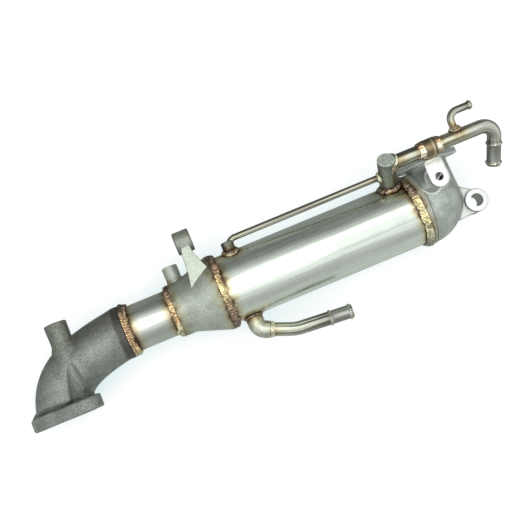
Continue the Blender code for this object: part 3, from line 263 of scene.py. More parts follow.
def raw(bm):
    """Close a bmesh into a plain object, a blank for the castings or a cutter."""
    bmesh.ops.remove_doubles(bm, verts=bm.verts, dist=1e-6)
    bmesh.ops.recalc_face_normals(bm, faces=bm.faces)
    mesh = bpy.data.meshes.new("blank")
    bm.to_mesh(mesh)
    bm.free()
    blank = bpy.data.objects.new("blank", mesh)
    bpy.context.scene.collection.objects.link(blank)
    return blank


def settle(blank):
    """Apply a blank's modifiers to its own mesh."""
    bpy.context.view_layer.update()
    done = bpy.data.meshes.new_from_object(blank.evaluated_get(bpy.context.evaluated_depsgraph_get()))
    blank.modifiers.clear()
    blank.data = done
    return blank


def weld_in(blank, tools, operation):
    """Join or cut a blank with other blanks, which are used up."""
    for tool in tools:
        modifier = blank.modifiers.new("cut", "BOOLEAN")
        modifier.operation = operation
        modifier.object = tool
        modifier.solver = "MANIFOLD"
    settle(blank)
    for tool in tools:
        bpy.data.objects.remove(tool)
    return blank


def mould(blank, voxel, rounds):
    """Give a blank the soft edges and fillets of a casting."""
    remesh = blank.modifiers.new("mould", "REMESH")
    remesh.mode = "VOXEL"
    remesh.voxel_size = voxel
    smooth = blank.modifiers.new("soften", "SMOOTH")
    smooth.factor = 0.5
    smooth.iterations = rounds
    return settle(blank)


def set_down(piece, name, metal, slot, *nodes, sharp=38):
    """Name a finished piece, give it its metal, and let it stand for nodes of the model."""
    piece.name = name
    piece.data.name = name
    piece.data.materials.clear()
    piece.data.materials.append(metal)
    piece.data.shade_smooth()
    piece.data.set_sharp_from_angle(angle=radians(sharp))
    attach(piece, "root")
    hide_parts(*nodes)
    return piece


def elbow_sweep(start_radius, end_radius, past, step_down=0.0):
    """A round section carried from the collar, square to the axis, round the bend to the flange's face."""
    start = on_axis(TUBE_START - 0.0050)
    lean = radians(9)
    curve = (start, start - Vector((cos(lean), sin(lean), 0)) * 0.0370, Vector((0, 0.0320, 0)), Vector((0, 0, 0)))
    points = []
    for k in range(41):
        u = k / 40
        weights = ((1 - u) ** 3, 3 * u * (1 - u) ** 2, 3 * u * u * (1 - u), u ** 3)
        points.append(sum((p * w for p, w in zip(curve, weights)), Vector()))
    stations = [(turned, start_radius) for turned in rail([on_axis(TUBE_START + past), start])]
    for k, turned in enumerate(rail(points)[1:], 1):
        stations.append((turned, start_radius - step_down + (end_radius - start_radius + step_down) * k / 40))
    if past:
        last = stations[-1][0].copy()
        last.translation.y -= past
        stations.append((last, end_radius))
    return swept(stations, 72)


blank = elbow_sweep(COLLAR_RADIUS, 0.0222, 0.0, 0.0005)
plate = hull(((BOLT_REACH, 0.0135), (-BOLT_REACH, 0.0135), ((0, 0, 0), 0.0250)), 0.0, FLANGE_THICKNESS, way=1)
round_over(plate, 0.0013)
sunk, boss_x = FLANGE_THICKNESS - 0.001, TUBE_START - 0.0473
flare = bar((0, sunk, 0), (0, FLANGE_THICKNESS + 0.0034, 0), 0.0262, 72, 0.0222)
heel = bar((0.0019, sunk, 0), (0.0019, FLANGE_THICKNESS + 0.0060, 0), 0.0240, 72, 0.0213)
boss = bar((boss_x, 0.0330, 0.0120), (boss_x, AXIS_Y + 0.0259, 0.0120), 0.0079, 64, 0.00885)
skirt = bar((boss_x, 0.0500, 0.0100), (boss_x, AXIS_Y + 0.0110, 0.0114), 0.0112, 64, 0.0082)
weld_in(blank, [raw(plate), flare, heel, boss, skirt], "UNION")
foot = BOLT_REACH + ACROSS * FLANGE_THICKNESS
weld_in(blank, [bar(foot, foot + ACROSS * 0.0290, 0.0104, 64, 0.0030)], "DIFFERENCE")
mould(blank, 0.0006, 9)

bore = elbow_sweep(TUBE_BORE, 0.0175, 0.004)
socket = bar(on_axis(TUBE_START - 0.004), on_axis(TUBE_START + 0.004), TUBE_SOCKET, 96)
ledge = bar(foot - ACROSS * 0.0004, foot + ACROSS * 0.0026, 0.0106)
holes = [bar(bolt - ACROSS * 0.004, bolt + ACROSS * (FLANGE_THICKNESS + 0.004), 0.0045, 48)
         for bolt in (BOLT_REACH, -BOLT_REACH)]
weld_in(blank, [bore, socket, ledge, *holes], "DIFFERENCE")

ELBOW_IRON, shader, place, skin = cast_skin(
    "elbow_cast_iron", (0.155, 0.174, 0.160), (0.235, 0.256, 0.232), 0.00055, 0.75, 0.48)
along = split(place)
wander = times(grain(place, 0.004), 0.003)
near_weld = step(plus(along["X"], wander), 0.0602, 0.0630)
# Painted shade: the upper side is darkened, mottled by the rust noise.
upper_shade = step(plus(along["Y"], times(wander, 2.0)), 0.0420, 0.0580, 0.0, 0.62)
rust = step(grain(place, 0.0019, 4.0), 0.42, 0.62, 0.35, 1.0)
rust_and_shade = blend(times(upper_shade, rust), skin, (0.112, 0.112, 0.070))
scorch_and_shade = blend(times(near_weld, 0.80), rust_and_shade, (0.060, 0.054, 0.050))
# Painted shadow, patchy, in the crease where the body meets the flange's back.
crease = band(along["Y"], 0.0104, 0.0110, 0.0112, 0.0142)
flange_crease_shadow = times(crease, step(grain(place, 0.0050), 0.35, 0.60, 0.35, 0.85))
scorch_and_shade = blend(flange_crease_shadow, scorch_and_shade, (0.050, 0.054, 0.050))
gasket_face = step(along["Y"], 0.0003, 0.0001)
feed(shader, blend(gasket_face, scorch_and_shade, (0.46, 0.46, 0.44)))
set_down(blank, "cast_inlet_elbow", ELBOW_IRON, "cast_elbow", "inlet_elbow")

# Inlet tube. A short length of welded stainless tube, let 4 mm into the elbow's collar and the cone's.
# It is brushed along its length, and the two welds have left rings of straw and brown tint on it.
TUBE_RADIUS = 0.01825
CONE_START = 0.1074
TINTS = ((0.0, (0.17, 0.11, 0.08)), (0.10, (0.40, 0.28, 0.19)), (0.26, (0.74, 0.60, 0.43)),
         (0.58, (0.94, 0.89, 0.76)), (1.0, (1, 1, 1)))


def heat_rings(colour, distance, reach, wobble):
    """Lay weld heat tint over a colour: brown at the bead, then gold, then straw that fades out."""
    inputs = {"Value": plus(distance, wobble), "From Min": 0.0, "From Max": reach}
    share = node(distance.id_data, "MapRange", inputs).outputs["Result"]
    return blend(1.0, colour, ramp(share, *TINTS), "MULTIPLY")


def brushed(name, pale, dull, roughness, long_way, streak):
    """Stainless brushed along one way: fine streaks in tone and bump, and faint handling marks."""
    metal, shader, place = new_metal(name, 1.0, roughness)
    lines = grain(place, streak, 5.0, long_way)
    marks = grain(place, 0.010, 3.0)
    fine = blend(step(lines, 0.30, 0.70), dull, pale)
    soiled = blend(step(marks, 0.50, 0.80, 0.0, 0.35), fine, [c * 0.82 for c in dull])
    rough = plus(step(lines, 0.25, 0.75, -0.05, 0.06), step(marks, 0.3, 0.7, roughness, roughness + 0.05))
    feed(shader, rough, "Roughness")
    roughen(shader, [(lines, 0.16, 0.00012), (marks, 0.10, 0.0006)])
    return metal, shader, place, soiled


ends = rail([on_axis(0.0623), on_axis(0.1107)])
walls = [(ends[0], TUBE_RADIUS), (ends[1], TUBE_RADIUS), (ends[1], TUBE_BORE), (ends[0], TUBE_BORE)]
TUBE_STEEL, shader, place, skin = brushed(
    "brushed_inlet_tube", (0.72, 0.77, 0.71), (0.58, 0.63, 0.57), 0.25, (0.03, 1, 1), 0.0006)
along = split(place)
from_elbow, from_cone = less(along["X"], 0.0722), less(0.1034, along["X"])
# Painted shade on the lower half; the tube is also painted darker towards the cone.
shaded_underside = step(along["Y"], AXIS_Y + 0.0030, AXIS_Y - 0.0060, 0.0, 0.55)
for share in (shaded_underside, step(along["X"], 0.0830, 0.0980, 0.0, 0.40)):
    skin = blend(share, skin, (0.46, 0.50, 0.45))
feed(shader, heat_rings(skin, least(from_elbow, from_cone), 0.0070, uneven(place, 0.006, 0.0008)))
set_down(swept(walls, 128, hollow=True), "brushed_inlet_tube", TUBE_STEEL, "satin_stainless", "inlet_tube")

# Cast inlet cone. One casting that opens from the tube to the shell, with a blind round boss on top
# and a lifting lug: an eye on an arm whose face towards the coolant side is milled flat and left bright.
CONE_END = 0.1445
SHELL_RADIUS = 0.0270
SHELL_BORE = 0.0257
SHELL_SOCKET = 0.0273
LUG_FACE = 0.0224
EYE = Vector((0.1327, 0.0921, 0.0134))

bm = bmesh.new()
for x, radius in ((CONE_START, COLLAR_RADIUS), (0.1160, COLLAR_RADIUS), (0.1430, 0.0306), (CONE_END, 0.0306)):
    bm.verts.new((x, AXIS_Y + radius, 0))
bm.verts.ensure_lookup_table()
for k in range(3):
    bm.edges.new((bm.verts[k], bm.verts[k + 1]))
bmesh.ops.spin(bm, geom=bm.verts[:] + bm.edges[:], cent=(0, AXIS_Y, 0), axis=(1, 0, 0), angle=2 * pi, steps=128,
               use_merge=True)
bmesh.ops.holes_fill(bm, edges=[edge for edge in bm.edges if edge.is_boundary], sides=0)
blank = raw(bm)
weld_in(blank, [bar((0.1148, AXIS_Y + 0.0150, 0), (0.1148, AXIS_Y + 0.0342, 0), 0.0062)], "UNION")
mould(blank, 0.0006, 3)

eye = bar(EYE - ALONG * 0.0066, EYE + ALONG * 0.0066, 0.0090, edge=0.0012, segments=4)
left, right = EYE.x - 0.0037, EYE.x + 0.0037
outline = [(left, EYE.y), (left, 0.0858), (left - 0.0011, 0.0811), (left - 0.0017, 0.0684), (left - 0.0043, 0.0539),
           (left - 0.0043, 0.0499), (right + 0.0068, 0.0499), (right + 0.0068, 0.0654), (right + 0.0027, 0.0744),
           (right + 0.0004, 0.0811), (right, 0.0858), (right, EYE.y)]
arm = bmesh.new()
face = arm.faces.new([arm.verts.new((x, y, LUG_FACE - 0.0120)) for x, y in outline])
pushed = bmesh.ops.extrude_face_region(arm, geom=[face])["geom"]
bmesh.ops.translate(arm, vec=(0, 0, 0.0120), verts=[part for part in pushed if isinstance(part, bmesh.types.BMVert)])
upper = [edge for edge in arm.edges if all(abs(vert.co.z - LUG_FACE) < 1e-5 for vert in edge.verts)]
bmesh.ops.bevel(arm, geom=upper, offset=0.0005, segments=3, profile=0.5, affect="EDGES", material=-1)
weld_in(blank, [raw(arm), eye], "UNION")

throat = ((0.1030, TUBE_BORE), (0.1160, TUBE_BORE), (0.1415, SHELL_BORE), (0.1485, SHELL_BORE))
frames = rail([on_axis(x) for x, radius in throat])
weld_in(blank, [swept([(turned, radius) for turned, (x, radius) in zip(frames, throat)], 96),
                bar(on_axis(0.1030), on_axis(0.1110), TUBE_SOCKET, 96),
                bar(on_axis(0.1415), on_axis(0.1485), SHELL_SOCKET, 96),
                bar(EYE - ALONG * 0.0100, EYE + ALONG * 0.0100, 0.0045, 48)], "DIFFERENCE")

CONE_IRON, shader, place, skin = cast_skin(
    "cone_cast_iron", (0.255, 0.285, 0.245), (0.390, 0.430, 0.375), 0.00038, 0.62, 0.42)
along = split(place)
from_weld = least(less(along["X"], 0.1062), less(0.1455, along["X"]))
# Darker towards the upper side.
upper = step(along["Y"], AXIS_Y + 0.0060, AXIS_Y + 0.0200, 0.0, 0.50)
singed_and_shaded = heat_rings(blend(upper, skin, (0.190, 0.190, 0.155)), from_weld, 0.0090, uneven(place, 0.006, 0.0015))
on_boss = times(step(along["X"], 0.1230, 0.1218), step(along["Y"], AXIS_Y + 0.0225, AXIS_Y + 0.0250))
singed_and_shaded = blend(times(on_boss, 0.6), singed_and_shaded, (0.48, 0.52, 0.46))
# Painted shade at both ends of the lug's eye.
eye_ends = times(step(off(along["X"], EYE.x), 0.0046, 0.0060), step(along["Y"], 0.0820, 0.0835))
singed_and_shaded = blend(times(eye_ends, 0.6), singed_and_shaded, (0.13, 0.14, 0.12))
facing = split(node(place.id_data, "NewGeometry").outputs["True Normal"])
on_face = times(band(along["Z"], LUG_FACE - 0.0004, LUG_FACE - 0.0002, LUG_FACE + 0.0001, LUG_FACE + 0.0002),
                step(facing["Z"], 0.990, 0.998), step(along["Y"], 0.0875, 0.0855))
milled = blend(step(grain(place, 0.0020, 4.0), 0.3, 0.7), (0.46, 0.51, 0.42), (0.56, 0.62, 0.52))
feed(shader, blend(on_face, singed_and_shaded, milled))
set_down(blank, "cast_inlet_cone", CONE_IRON, "cast_cone", "inlet_cone", sharp=17)

# Cooler shell. A brushed stainless tube that holds the coolant round the gas tubes, with a drilled port
# for each of its three fittings. It shows bands of painted shade along its length and tint at both end welds.
SHELL_START = 0.1415
SHELL_END = 0.3150
SEAM_LEAN = radians(4.1)
INLET_X = 0.1612
BLEED_FITTING = Vector((0.1635, AXIS_Y, 0.0095))
HEADER_AXIS = Vector((0, sin(radians(33)), cos(radians(33))))
HEADER_FOOT = Vector((0.2971, 0.07021, 0.01174))

frames = rail([on_axis(SHELL_START + (SHELL_END - SHELL_START) * k / 24) for k in range(25)])
walls = [(turned, SHELL_RADIUS) for turned in frames] + [(turned, SHELL_BORE) for turned in frames[::-1]]
shell = swept(walls, 160, hollow=True)
weld_in(shell, [bar((INLET_X, AXIS_Y - 0.0160, 0), (INLET_X, AXIS_Y - 0.0310, 0), 0.00445, 32),
                bar(HEADER_FOOT - HEADER_AXIS * 0.0069, HEADER_FOOT + HEADER_AXIS * 0.004, 0.0056, 32),
                bar(BLEED_FITTING + ACROSS * 0.0160, BLEED_FITTING + ACROSS * 0.0310, 0.0019, 32)], "DIFFERENCE")

SHELL_STEEL, shader, place, skin = brushed(
    "brushed_shell", (0.82, 0.89, 0.82), (0.66, 0.73, 0.65), 0.22, (0.02, 1, 1), 0.0011)
along = split(place)
from_cone = less(along["X"], 0.1498)
from_head = times(less(0.3100, plus(along["X"], times(along["Y"], tan(SEAM_LEAN)))), 1.35)
from_header = less(apart(place, HEADER_FOOT), 0.0100)
from_inlet = less(apart(place, (INLET_X, AXIS_Y - 0.027, 0)), 0.0085)
from_bleed = less(apart(place, BLEED_FITTING + ACROSS * 0.0253), 0.0070)
wobble = uneven(place, 0.007, 0.0016, 3.0)
# Painted shade in two bands along the top of the shell, round and over its highlight.
lower = times(step(off(along["Y"], AXIS_Y - 0.0036), 0.0056, 0.0026), step(along["X"], 0.2100, 0.2500, 0.0, 0.78))
upper = times(band(along["Y"], AXIS_Y + 0.0045, AXIS_Y + 0.0066, AXIS_Y + 0.0112, AXIS_Y + 0.0135),
              step(along["X"], 0.1700, 0.2600, 0.0, 0.52))
painted_shade = times(most(lower, upper), step(along["Z"], 0.0, 0.0100))
skin = blend(painted_shade, skin, (0.37, 0.40, 0.365))
# Darker round the header's foot: partly heat tint, partly painted shadow of the header.
skin = blend(step(from_header, 0.0210, 0.0010, 0.0, 0.55), skin, (0.30, 0.30, 0.24))
tinted = heat_rings(skin, least(from_cone, from_head), 0.0080, wobble)
feed(shader, heat_rings(tinted, least(from_header, from_inlet, from_bleed), 0.0080, wobble))
set_down(shell, "brushed_cooler_shell", SHELL_STEEL, "satin_stainless", "cooler_shell")

# Tube bundle. Nineteen plain stainless tubes in two drilled sheets, with two cut-away baffles between them.
# All of it is hidden inside the shell, so the model's own pieces keep their shape and get a drawn-tube finish.
BUNDLE_STEEL, shader, place, skin = brushed(
    "drawn_gas_tube", (0.62, 0.62, 0.60), (0.48, 0.48, 0.46), 0.34, (0.03, 1, 1), 0.0005)
feed(shader, skin)
for name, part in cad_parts.items():
    if name.startswith(("gas_tube", "tube_sheet", "baffle")):
        part.data.materials.clear()
        part.data.materials.append(BUNDLE_STEEL)

# Cast outlet head. It gathers the gas from the tubes and turns it up to a two-hole flange. A web carries
# the bored mounting ear, and a boss stands out for the pipe bracket; collar, flange, boss and ear are machined.
NECK_X = 0.3345
HEAD_CORNER = Vector((0.3180, 0.0749, 0))
TURN_CENTRE = Vector((0.3175, 0.0504, 0))
HEAD_BOLT_REACH = 0.0205
EAR = Vector((0.3581, 0.0351, 0))
BOSS = Vector((0.3316, 0.0617, 0))
BOSS_TOP = 0.0268
SPOT_FACE = Vector((0.3249, 0.0597, 0))
SCREW = Vector((0.3326, 0.0617, 0))


def head_sweep(inset, past):
    """The head fans round its inner corner, from the seam to the neck, and then runs up to the flange."""
    def ring(x, radius, lean=Matrix()):
        return Matrix.Translation(on_axis(x)) @ lean @ rail([Vector(), ALONG])[0], radius

    if past:
        stations = [ring(0.3110, SHELL_BORE), ring(0.3151, SHELL_BORE)]
    else:
        stations = [ring(0.3120, 0.0296, Matrix.Rotation(SEAM_LEAN, 4, "Z")), ring(0.3170, 0.0296)]
    offset = HEAD_CORNER - TURN_CENTRE
    for k in range(33):
        angle = -pi / 2 + pi / 2 * k / 32
        ray = Vector((cos(angle), sin(angle), 0))
        reach = -ray.dot(offset) + sqrt(ray.dot(offset) ** 2 - offset.dot(offset) + 0.0335 ** 2)
        if (HEAD_CORNER + ray * reach).y > TURN_CENTRE.y:
            reach = 0.0330 / ray.x
        onward = Vector((-ray.y, ray.x, 0))
        fan = Matrix((UP, onward.cross(UP), onward)).transposed().to_4x4()
        fan.translation = HEAD_CORNER + ray * (reach / 2)
        stations.append((fan, reach / 2 - inset))
    top = stations[-1][0].copy()
    top.translation = (NECK_X, 0.0819 + past, 0)
    return swept([*stations, (top, 0.0165 - inset)], 96)


blank = head_sweep(0.0, 0.0)
web = hull(((EAR, 0.0087), ((NECK_X, AXIS_Y - 0.0091, 0), 0.0115), ((NECK_X + 0.0060, AXIS_Y + 0.0020, 0), 0.0080)),
           -0.0035, 0.0055)
weld_in(blank, [raw(web)], "UNION")
mould(blank, 0.0007, 3)

left, right = NECK_X - HEAD_BOLT_REACH, NECK_X + HEAD_BOLT_REACH
flange = hull((((left, 0, 0), 0.0068), ((right, 0, 0), 0.0068), ((NECK_X, 0, 0), 0.0200)), 0.0773, 0.0819, way=1)
round_over(flange, 0.0005)
ear = bar(EAR - UP * 0.0090, EAR + UP * 0.0095, 0.0093, 96, edge=0.0006)
weld_in(blank, [bar(BOSS + UP * 0.0150, BOSS + UP * BOSS_TOP, 0.0104, 96, edge=0.0007)], "UNION")
seat = hull(((BOSS, 0.0107), (SPOT_FACE, 0.0076)), BOSS_TOP, 0.0400)
flared = bar(SPOT_FACE + UP * BOSS_TOP, SPOT_FACE + UP * 0.0400, 0.0076, 96, 0.0176)
edges = rail([on_axis(0.3167), on_axis(0.3173)])
groove = swept([(edges[0], 0.0292), (edges[0], 0.0330), (edges[1], 0.0330), (edges[1], 0.0292)], 128, hollow=True)
weld_in(blank, [raw(seat), flared, groove], "DIFFERENCE")
weld_in(blank, [raw(flange), ear], "UNION")

tapped = rail([SCREW + UP * (0.0290 - 0.0005 * k) for k in range(17)])
weld_in(blank, [head_sweep(0.0036, 0.004),
                bar(on_axis(0.2990), on_axis(0.3153), SHELL_SOCKET),
                bar(EAR - UP * 0.014, EAR + UP * 0.014, 0.0052),
                bar((left, 0.0764, 0), (left, 0.0850, 0), 0.0033),
                bar((right, 0.0733, 0), (right, 0.0850, 0), 0.0033),
                swept([(turned, 0.0025 if k % 2 else 0.0030) for k, turned in enumerate(tapped)], 48)], "DIFFERENCE")

HEAD_IRON, shader, place, skin = cast_skin(
    "head_cast_iron", (0.235, 0.270, 0.245), (0.420, 0.465, 0.425), 0.00036, 0.60, 0.42)
along = split(place)
facing = split(node(place.id_data, "NewGeometry").outputs["Normal"])
in_plan = node(place.id_data, "CombineXYZ", {0: along["X"], 1: along["Y"]}).outputs[0]
from_ear, from_spot, from_screw = apart(in_plan, EAR), apart(in_plan, SPOT_FACE), apart(in_plan, SCREW)
collar = blend(step(along["X"], 0.3172, 0.3168, 0.0, 0.6), skin, (0.40, 0.42, 0.38))
# Painted shade in the groove where the turned collar ends.
groove_shade = band(along["X"], 0.3165, 0.3168, 0.3172, 0.3175)
collar = blend(times(groove_shade, 0.75), collar, (0.07, 0.07, 0.06))
from_seam = less(plus(along["X"], times(less(along["Y"], AXIS_Y), tan(SEAM_LEAN))), 0.3116)
tinted = heat_rings(collar, from_seam, 0.0060, uneven(place, 0.006, 0.0012))

# Painted light: the web's upward faces are lightened.
web_top = times(step(along["X"], 0.3405, 0.3425), step(facing["Z"], 0.6, 0.9), step(along["Z"], 0.0085, 0.0070))
lit = blend(web_top, tinted, (0.66, 0.71, 0.66))
ear_top = times(step(from_ear, 0.0096, 0.0094), step(along["Z"], 0.0085, 0.0090))
lit = blend(ear_top, lit, (0.80, 0.82, 0.80))
# Painted shade round the ear's side just under its top.
ear_edge = times(band(from_ear, 0.0087, 0.0090, 0.0094, 0.0096), step(along["Z"], 0.0070, 0.0080, 0.0, 0.75))
lit = blend(ear_edge, lit, (0.10, 0.10, 0.095))

# The spot face under the tab: painted shadow on its floor and wall, and a painted highlight in a crescent along its
# lower side, made less metallic there so that it shows brighter.
low_side = step(passed(place, SPOT_FACE, (-0.38, -0.92, 0)), 0.0030, 0.0074)
wall = times(step(from_spot, 0.0120, 0.0115), step(along["Z"], 0.0264, 0.0268), step(facing["Z"], 0.80, 0.72))
rim = times(band(from_spot, 0.0077, 0.0080, 0.0089, 0.0094), step(along["Z"], 0.0240, 0.0250))
crescent = times(most(wall, rim), low_side)
feed(shader, step(crescent, 0.0, 1.0, 0.60, 0.0), "Metallic")
seat_floor = times(step(from_spot, 0.0080, 0.0077), step(facing["Z"], 0.95, 0.99), step(along["Z"], 0.0272, 0.0269))
lit = blend(times(most(seat_floor, wall), 0.80), lit, (0.135, 0.152, 0.139))
lit = blend(times(crescent, 0.95), lit, (0.72, 0.74, 0.70))

# Painted shade inside the tapped hole, with painted glints on its thread.
in_thread = times(step(from_screw, 0.0034, 0.0032), step(along["Z"], 0.0150, 0.0160))
athwart = passed(place, SCREW, (0.724, -0.681, 0))
glints = most(step(off(athwart, -0.0011), 0.0006, 0.0003), step(off(athwart, 0.0009), 0.0008, 0.0005))
glints = times(glints, step(from_screw, 0.00285, 0.00270))
lit = blend(times(in_thread, 0.9), lit, blend(glints, (0.02, 0.02, 0.018), (1.0, 1.0, 0.95)))
lit = blend(step(along["Y"], 0.0768, 0.0772, 0.0, 0.8), lit, (0.36, 0.40, 0.36))
# Painted highlight along the flange's lower rim.
flange_rim = band(along["Y"], 0.0770, 0.0773, 0.0780, 0.0784)
feed(shader, blend(times(flange_rim, 0.8), lit, (0.80, 0.84, 0.78)))
set_down(blank, "cast_outlet_head", HEAD_IRON, "cast_head", "outlet_head")

# Welds on the cooler's axis. Each joins a tube to the end of a casting, laid in short overlapping pools,
# so it stands in ripples and carries the heat's colours: dark brown and purple, copper, gold and straw.
# The colours go by height round each ring, so they are partly painted light and shade.


def bead_ring(x, inner, rise, leg, side, slant, pools, rows, seed):
    """A bead turned round the axis, then pushed out into overlapping pools, in one row or two."""
    bm = bmesh.new()
    groove = bm.verts.layers.float.new("groove")
    proud, lifted = 0.00005, inner + 0.0002
    turns = [pi / 2 * k / 12 for k in range(13)]
    section = [(proud, lifted)] + [(proud + leg * sin(turn), lifted + rise * cos(turn)) for turn in turns]
    corners = [bm.verts.new((x + side * along, AXIS_Y + radius, 0)) for along, radius in section]
    for k in range(len(corners)):
        bm.edges.new((corners[k], corners[(k + 1) % len(corners)]))
    bmesh.ops.spin(bm, geom=bm.verts[:] + bm.edges[:], cent=(0, AXIS_Y, 0), axis=(1, 0, 0), angle=2 * pi,
                   steps=pools * 10, use_merge=True)
    for vert in bm.verts:
        out = Vector((0, vert.co.y - AXIS_Y, vert.co.z))
        share = (vert.co.x - x) * side / leg
        drift = noise.noise(Vector((vert.co.y * 90, vert.co.z * 90, seed)))
        if out.length > inner + 0.0005 or share > 0.2:
            turn = Vector((out.y, out.z)).angle_signed(Vector((1, 0)))
            patchy = noise.noise(Vector((vert.co.y * 300, vert.co.z * 300, seed + share * 2)))
            if rows == 2:
                middle = 0.46 + 0.30 * drift
                pool = abs(sin(pools / 2 * turn + (pi / 2 if share > middle else 0) + drift * 5.0 + patchy * 1.2))
                pool -= 0.7 * exp(-((share - middle) / 0.10) ** 2)
            else:
                pool = abs(sin(pools / 2 * turn + 6.0 * (share - 0.5) ** 2 + drift * 7.0 + patchy * 1.6))
            pool *= 0.75 + 0.8 * patchy
            vert[groove] = max(0.0, 1 - 2.2 * pool)
            swell = 0.00060 * pool + 0.00060 * drift + 0.00030 * patchy
            vert.co += out.normalized() * swell
            vert.co.x += side * (swell * max(0.0, min(1.0, share * 2)) + 0.18 * leg * share * drift)
        vert.co.x -= (vert.co.y - AXIS_Y) * tan(slant)
    return raw(bm)


def weld_metal(name, colours, patch, radius=0.0, roughness=0.30, middle=AXIS_Y):
    """Weld metal in heat colours; given a radius they go from the first at the bottom of a ring to the last at its
    top, partly as painted light and shade.
    """
    metal, shader, place = new_metal(name, 1.0, roughness)
    drift = grain(place, patch, 4.0)
    share = step(drift, 0.30, 0.70)
    # Given a radius, the colours go by height round the ring: partly painted light and shade.
    if radius:
        inputs = {"Value": split(place)["Y"], "From Min": middle - radius, "From Max": middle + radius}
        height = node(place.id_data, "MapRange", inputs).outputs["Result"]
        share = plus(height, step(drift, 0.30, 0.70, -0.08, 0.08))
    heat_tint_and_light = ramp(share, *[(k / (len(colours) - 1), colour) for k, colour in enumerate(colours)])
    sooty = step(grain(place, patch * 0.6, 2.0), 0.28, 0.42, 0.50, 0.0)
    valley = node(place.id_data, "Attribute", attribute_name="groove").outputs["Fac"]
    skin = blend(sooty, heat_tint_and_light, (0.11, 0.08, 0.06))
    feed(shader, blend(times(valley, 0.60), skin, (0.12, 0.085, 0.05)))
    feed(shader, step(drift, 0.3, 0.7, roughness + 0.08, roughness - 0.08), "Roughness")
    roughen(shader, [(grain(place, 0.0008, 3.0), 0.35, 0.00022)])
    return metal


STRAW, GOLD, AMBER, BRONZE = (0.62, 0.62, 0.42), (1.0, 0.87, 0.45), (0.80, 0.58, 0.30), (0.42, 0.31, 0.20)
COPPER, PLUM, PEWTER = (0.40, 0.28, 0.20), (0.13, 0.11, 0.11), (0.34, 0.34, 0.31)
for name, stand_in, x, inner, rise, leg, side, slant, pools, rows, colours in (
        ("elbow_tube_bead", "weld_elbow_to_tube", 0.0664, TUBE_RADIUS, 0.00255, 0.0050, 1, 0.0, 72, 2,
         (STRAW, AMBER, BRONZE, AMBER, COPPER, AMBER, BRONZE, COPPER, PLUM)),
        ("tube_cone_bead", "weld_tube_to_cone", 0.1075, TUBE_RADIUS, 0.00235, 0.0038, -1, 0.0, 64, 1,
         (STRAW, STRAW, AMBER, BRONZE, AMBER, BRONZE, COPPER, PLUM)),
        ("cone_shell_bead", "weld_cone_to_shell", CONE_END, SHELL_RADIUS, 0.0031, 0.0050, 1, 0.0, 82, 1,
         (PLUM, COPPER, COPPER, BRONZE, GOLD, GOLD, AMBER, COPPER, COPPER, PLUM)),
        ("shell_head_bead", "weld_shell_to_head", 0.3120, SHELL_RADIUS, 0.0024, 0.0046, -1, SEAM_LEAN, 70, 1,
         (PEWTER, STRAW, STRAW, GOLD, STRAW, GOLD, BRONZE, PLUM, BRONZE, PLUM))):
    bead = bead_ring(x, inner, rise, leg, side, slant, pools, rows, x * 50)
    set_down(bead, name, weld_metal(name, colours, 0.0030, inner + rise), "weld_bead", stand_in, sharp=75)

# Coolant header. A capped turned fitting that leans over the shell and takes the outlet pipe and the bleed tube,
# welded to the shell round its foot. Its cap is scratched and paler than its side.
HEADER_TOP = HEADER_FOOT + HEADER_AXIS * 0.0325
HEADER_PORT = HEADER_TOP - HEADER_AXIS * 0.0068
PIPE_RADIUS = 0.00545

header = bar(HEADER_FOOT - HEADER_AXIS * 0.0060, HEADER_TOP, 0.0069, 72, edge=0.0011, segments=5)
weld_in(header, [bar(HEADER_FOOT - HEADER_AXIS * 0.012, HEADER_TOP - HEADER_AXIS * 0.0020, 0.0056, 96),
                 bar(on_axis(0.2500), on_axis(0.3400), SHELL_SOCKET, 96),
                 bar(HEADER_PORT, HEADER_PORT + ALONG * 0.014, 0.00575, 96)], "DIFFERENCE")
HEADER_STEEL, shader, place, skin = brushed(
    "turned_header_steel", (0.31, 0.33, 0.285), (0.20, 0.215, 0.185), 0.36, (1, 1, 1), 0.0040)
above_top = passed(place, HEADER_TOP, HEADER_AXIS)
tinted = heat_rings(skin, plus(above_top, 0.0335), 0.0080, uneven(place, 0.005, 0.0015))
scratch = grain(place, 0.0007, 3.0, (1.0, 0.12, 1.0))
on_cap = step(above_top, -0.0009, -0.0006)
scored = blend(step(scratch, 0.42, 0.60), (0.30, 0.35, 0.30), (0.56, 0.62, 0.54))
feed(shader, blend(on_cap, tinted, scored))
feed(shader, step(on_cap, 0.0, 1.0, 1.0, 0.35), "Metallic")
set_down(header, "turned_coolant_header", HEADER_STEEL, "fitting_steel", "coolant_header")


def flow(source, name, metal, slot, voxel, rounds, lump, seed):
    """Lay a weld or braze of the model again, run together and lumpy like metal that has flowed."""
    bm = bmesh.new()
    bm.from_mesh(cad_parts[source].data)
    blank = mould(raw(bm), voxel, rounds)
    for vert in blank.data.vertices:
        vert.co += vert.normal * lump * noise.noise(vert.co * 420 + Vector((seed, 0, 0)))
    set_down(blank, name, metal, slot, source, sharp=80)


DARK_WELD = weld_metal(
    "dark_copper_weld", (PLUM, (0.24, 0.18, 0.13), (0.34, 0.26, 0.20), (0.24, 0.18, 0.13), AMBER), 0.0024)
flow("header_weld", "header_foot_weld", DARK_WELD, "weld_bead", 0.0004, 4, 0.0009, 1.0)

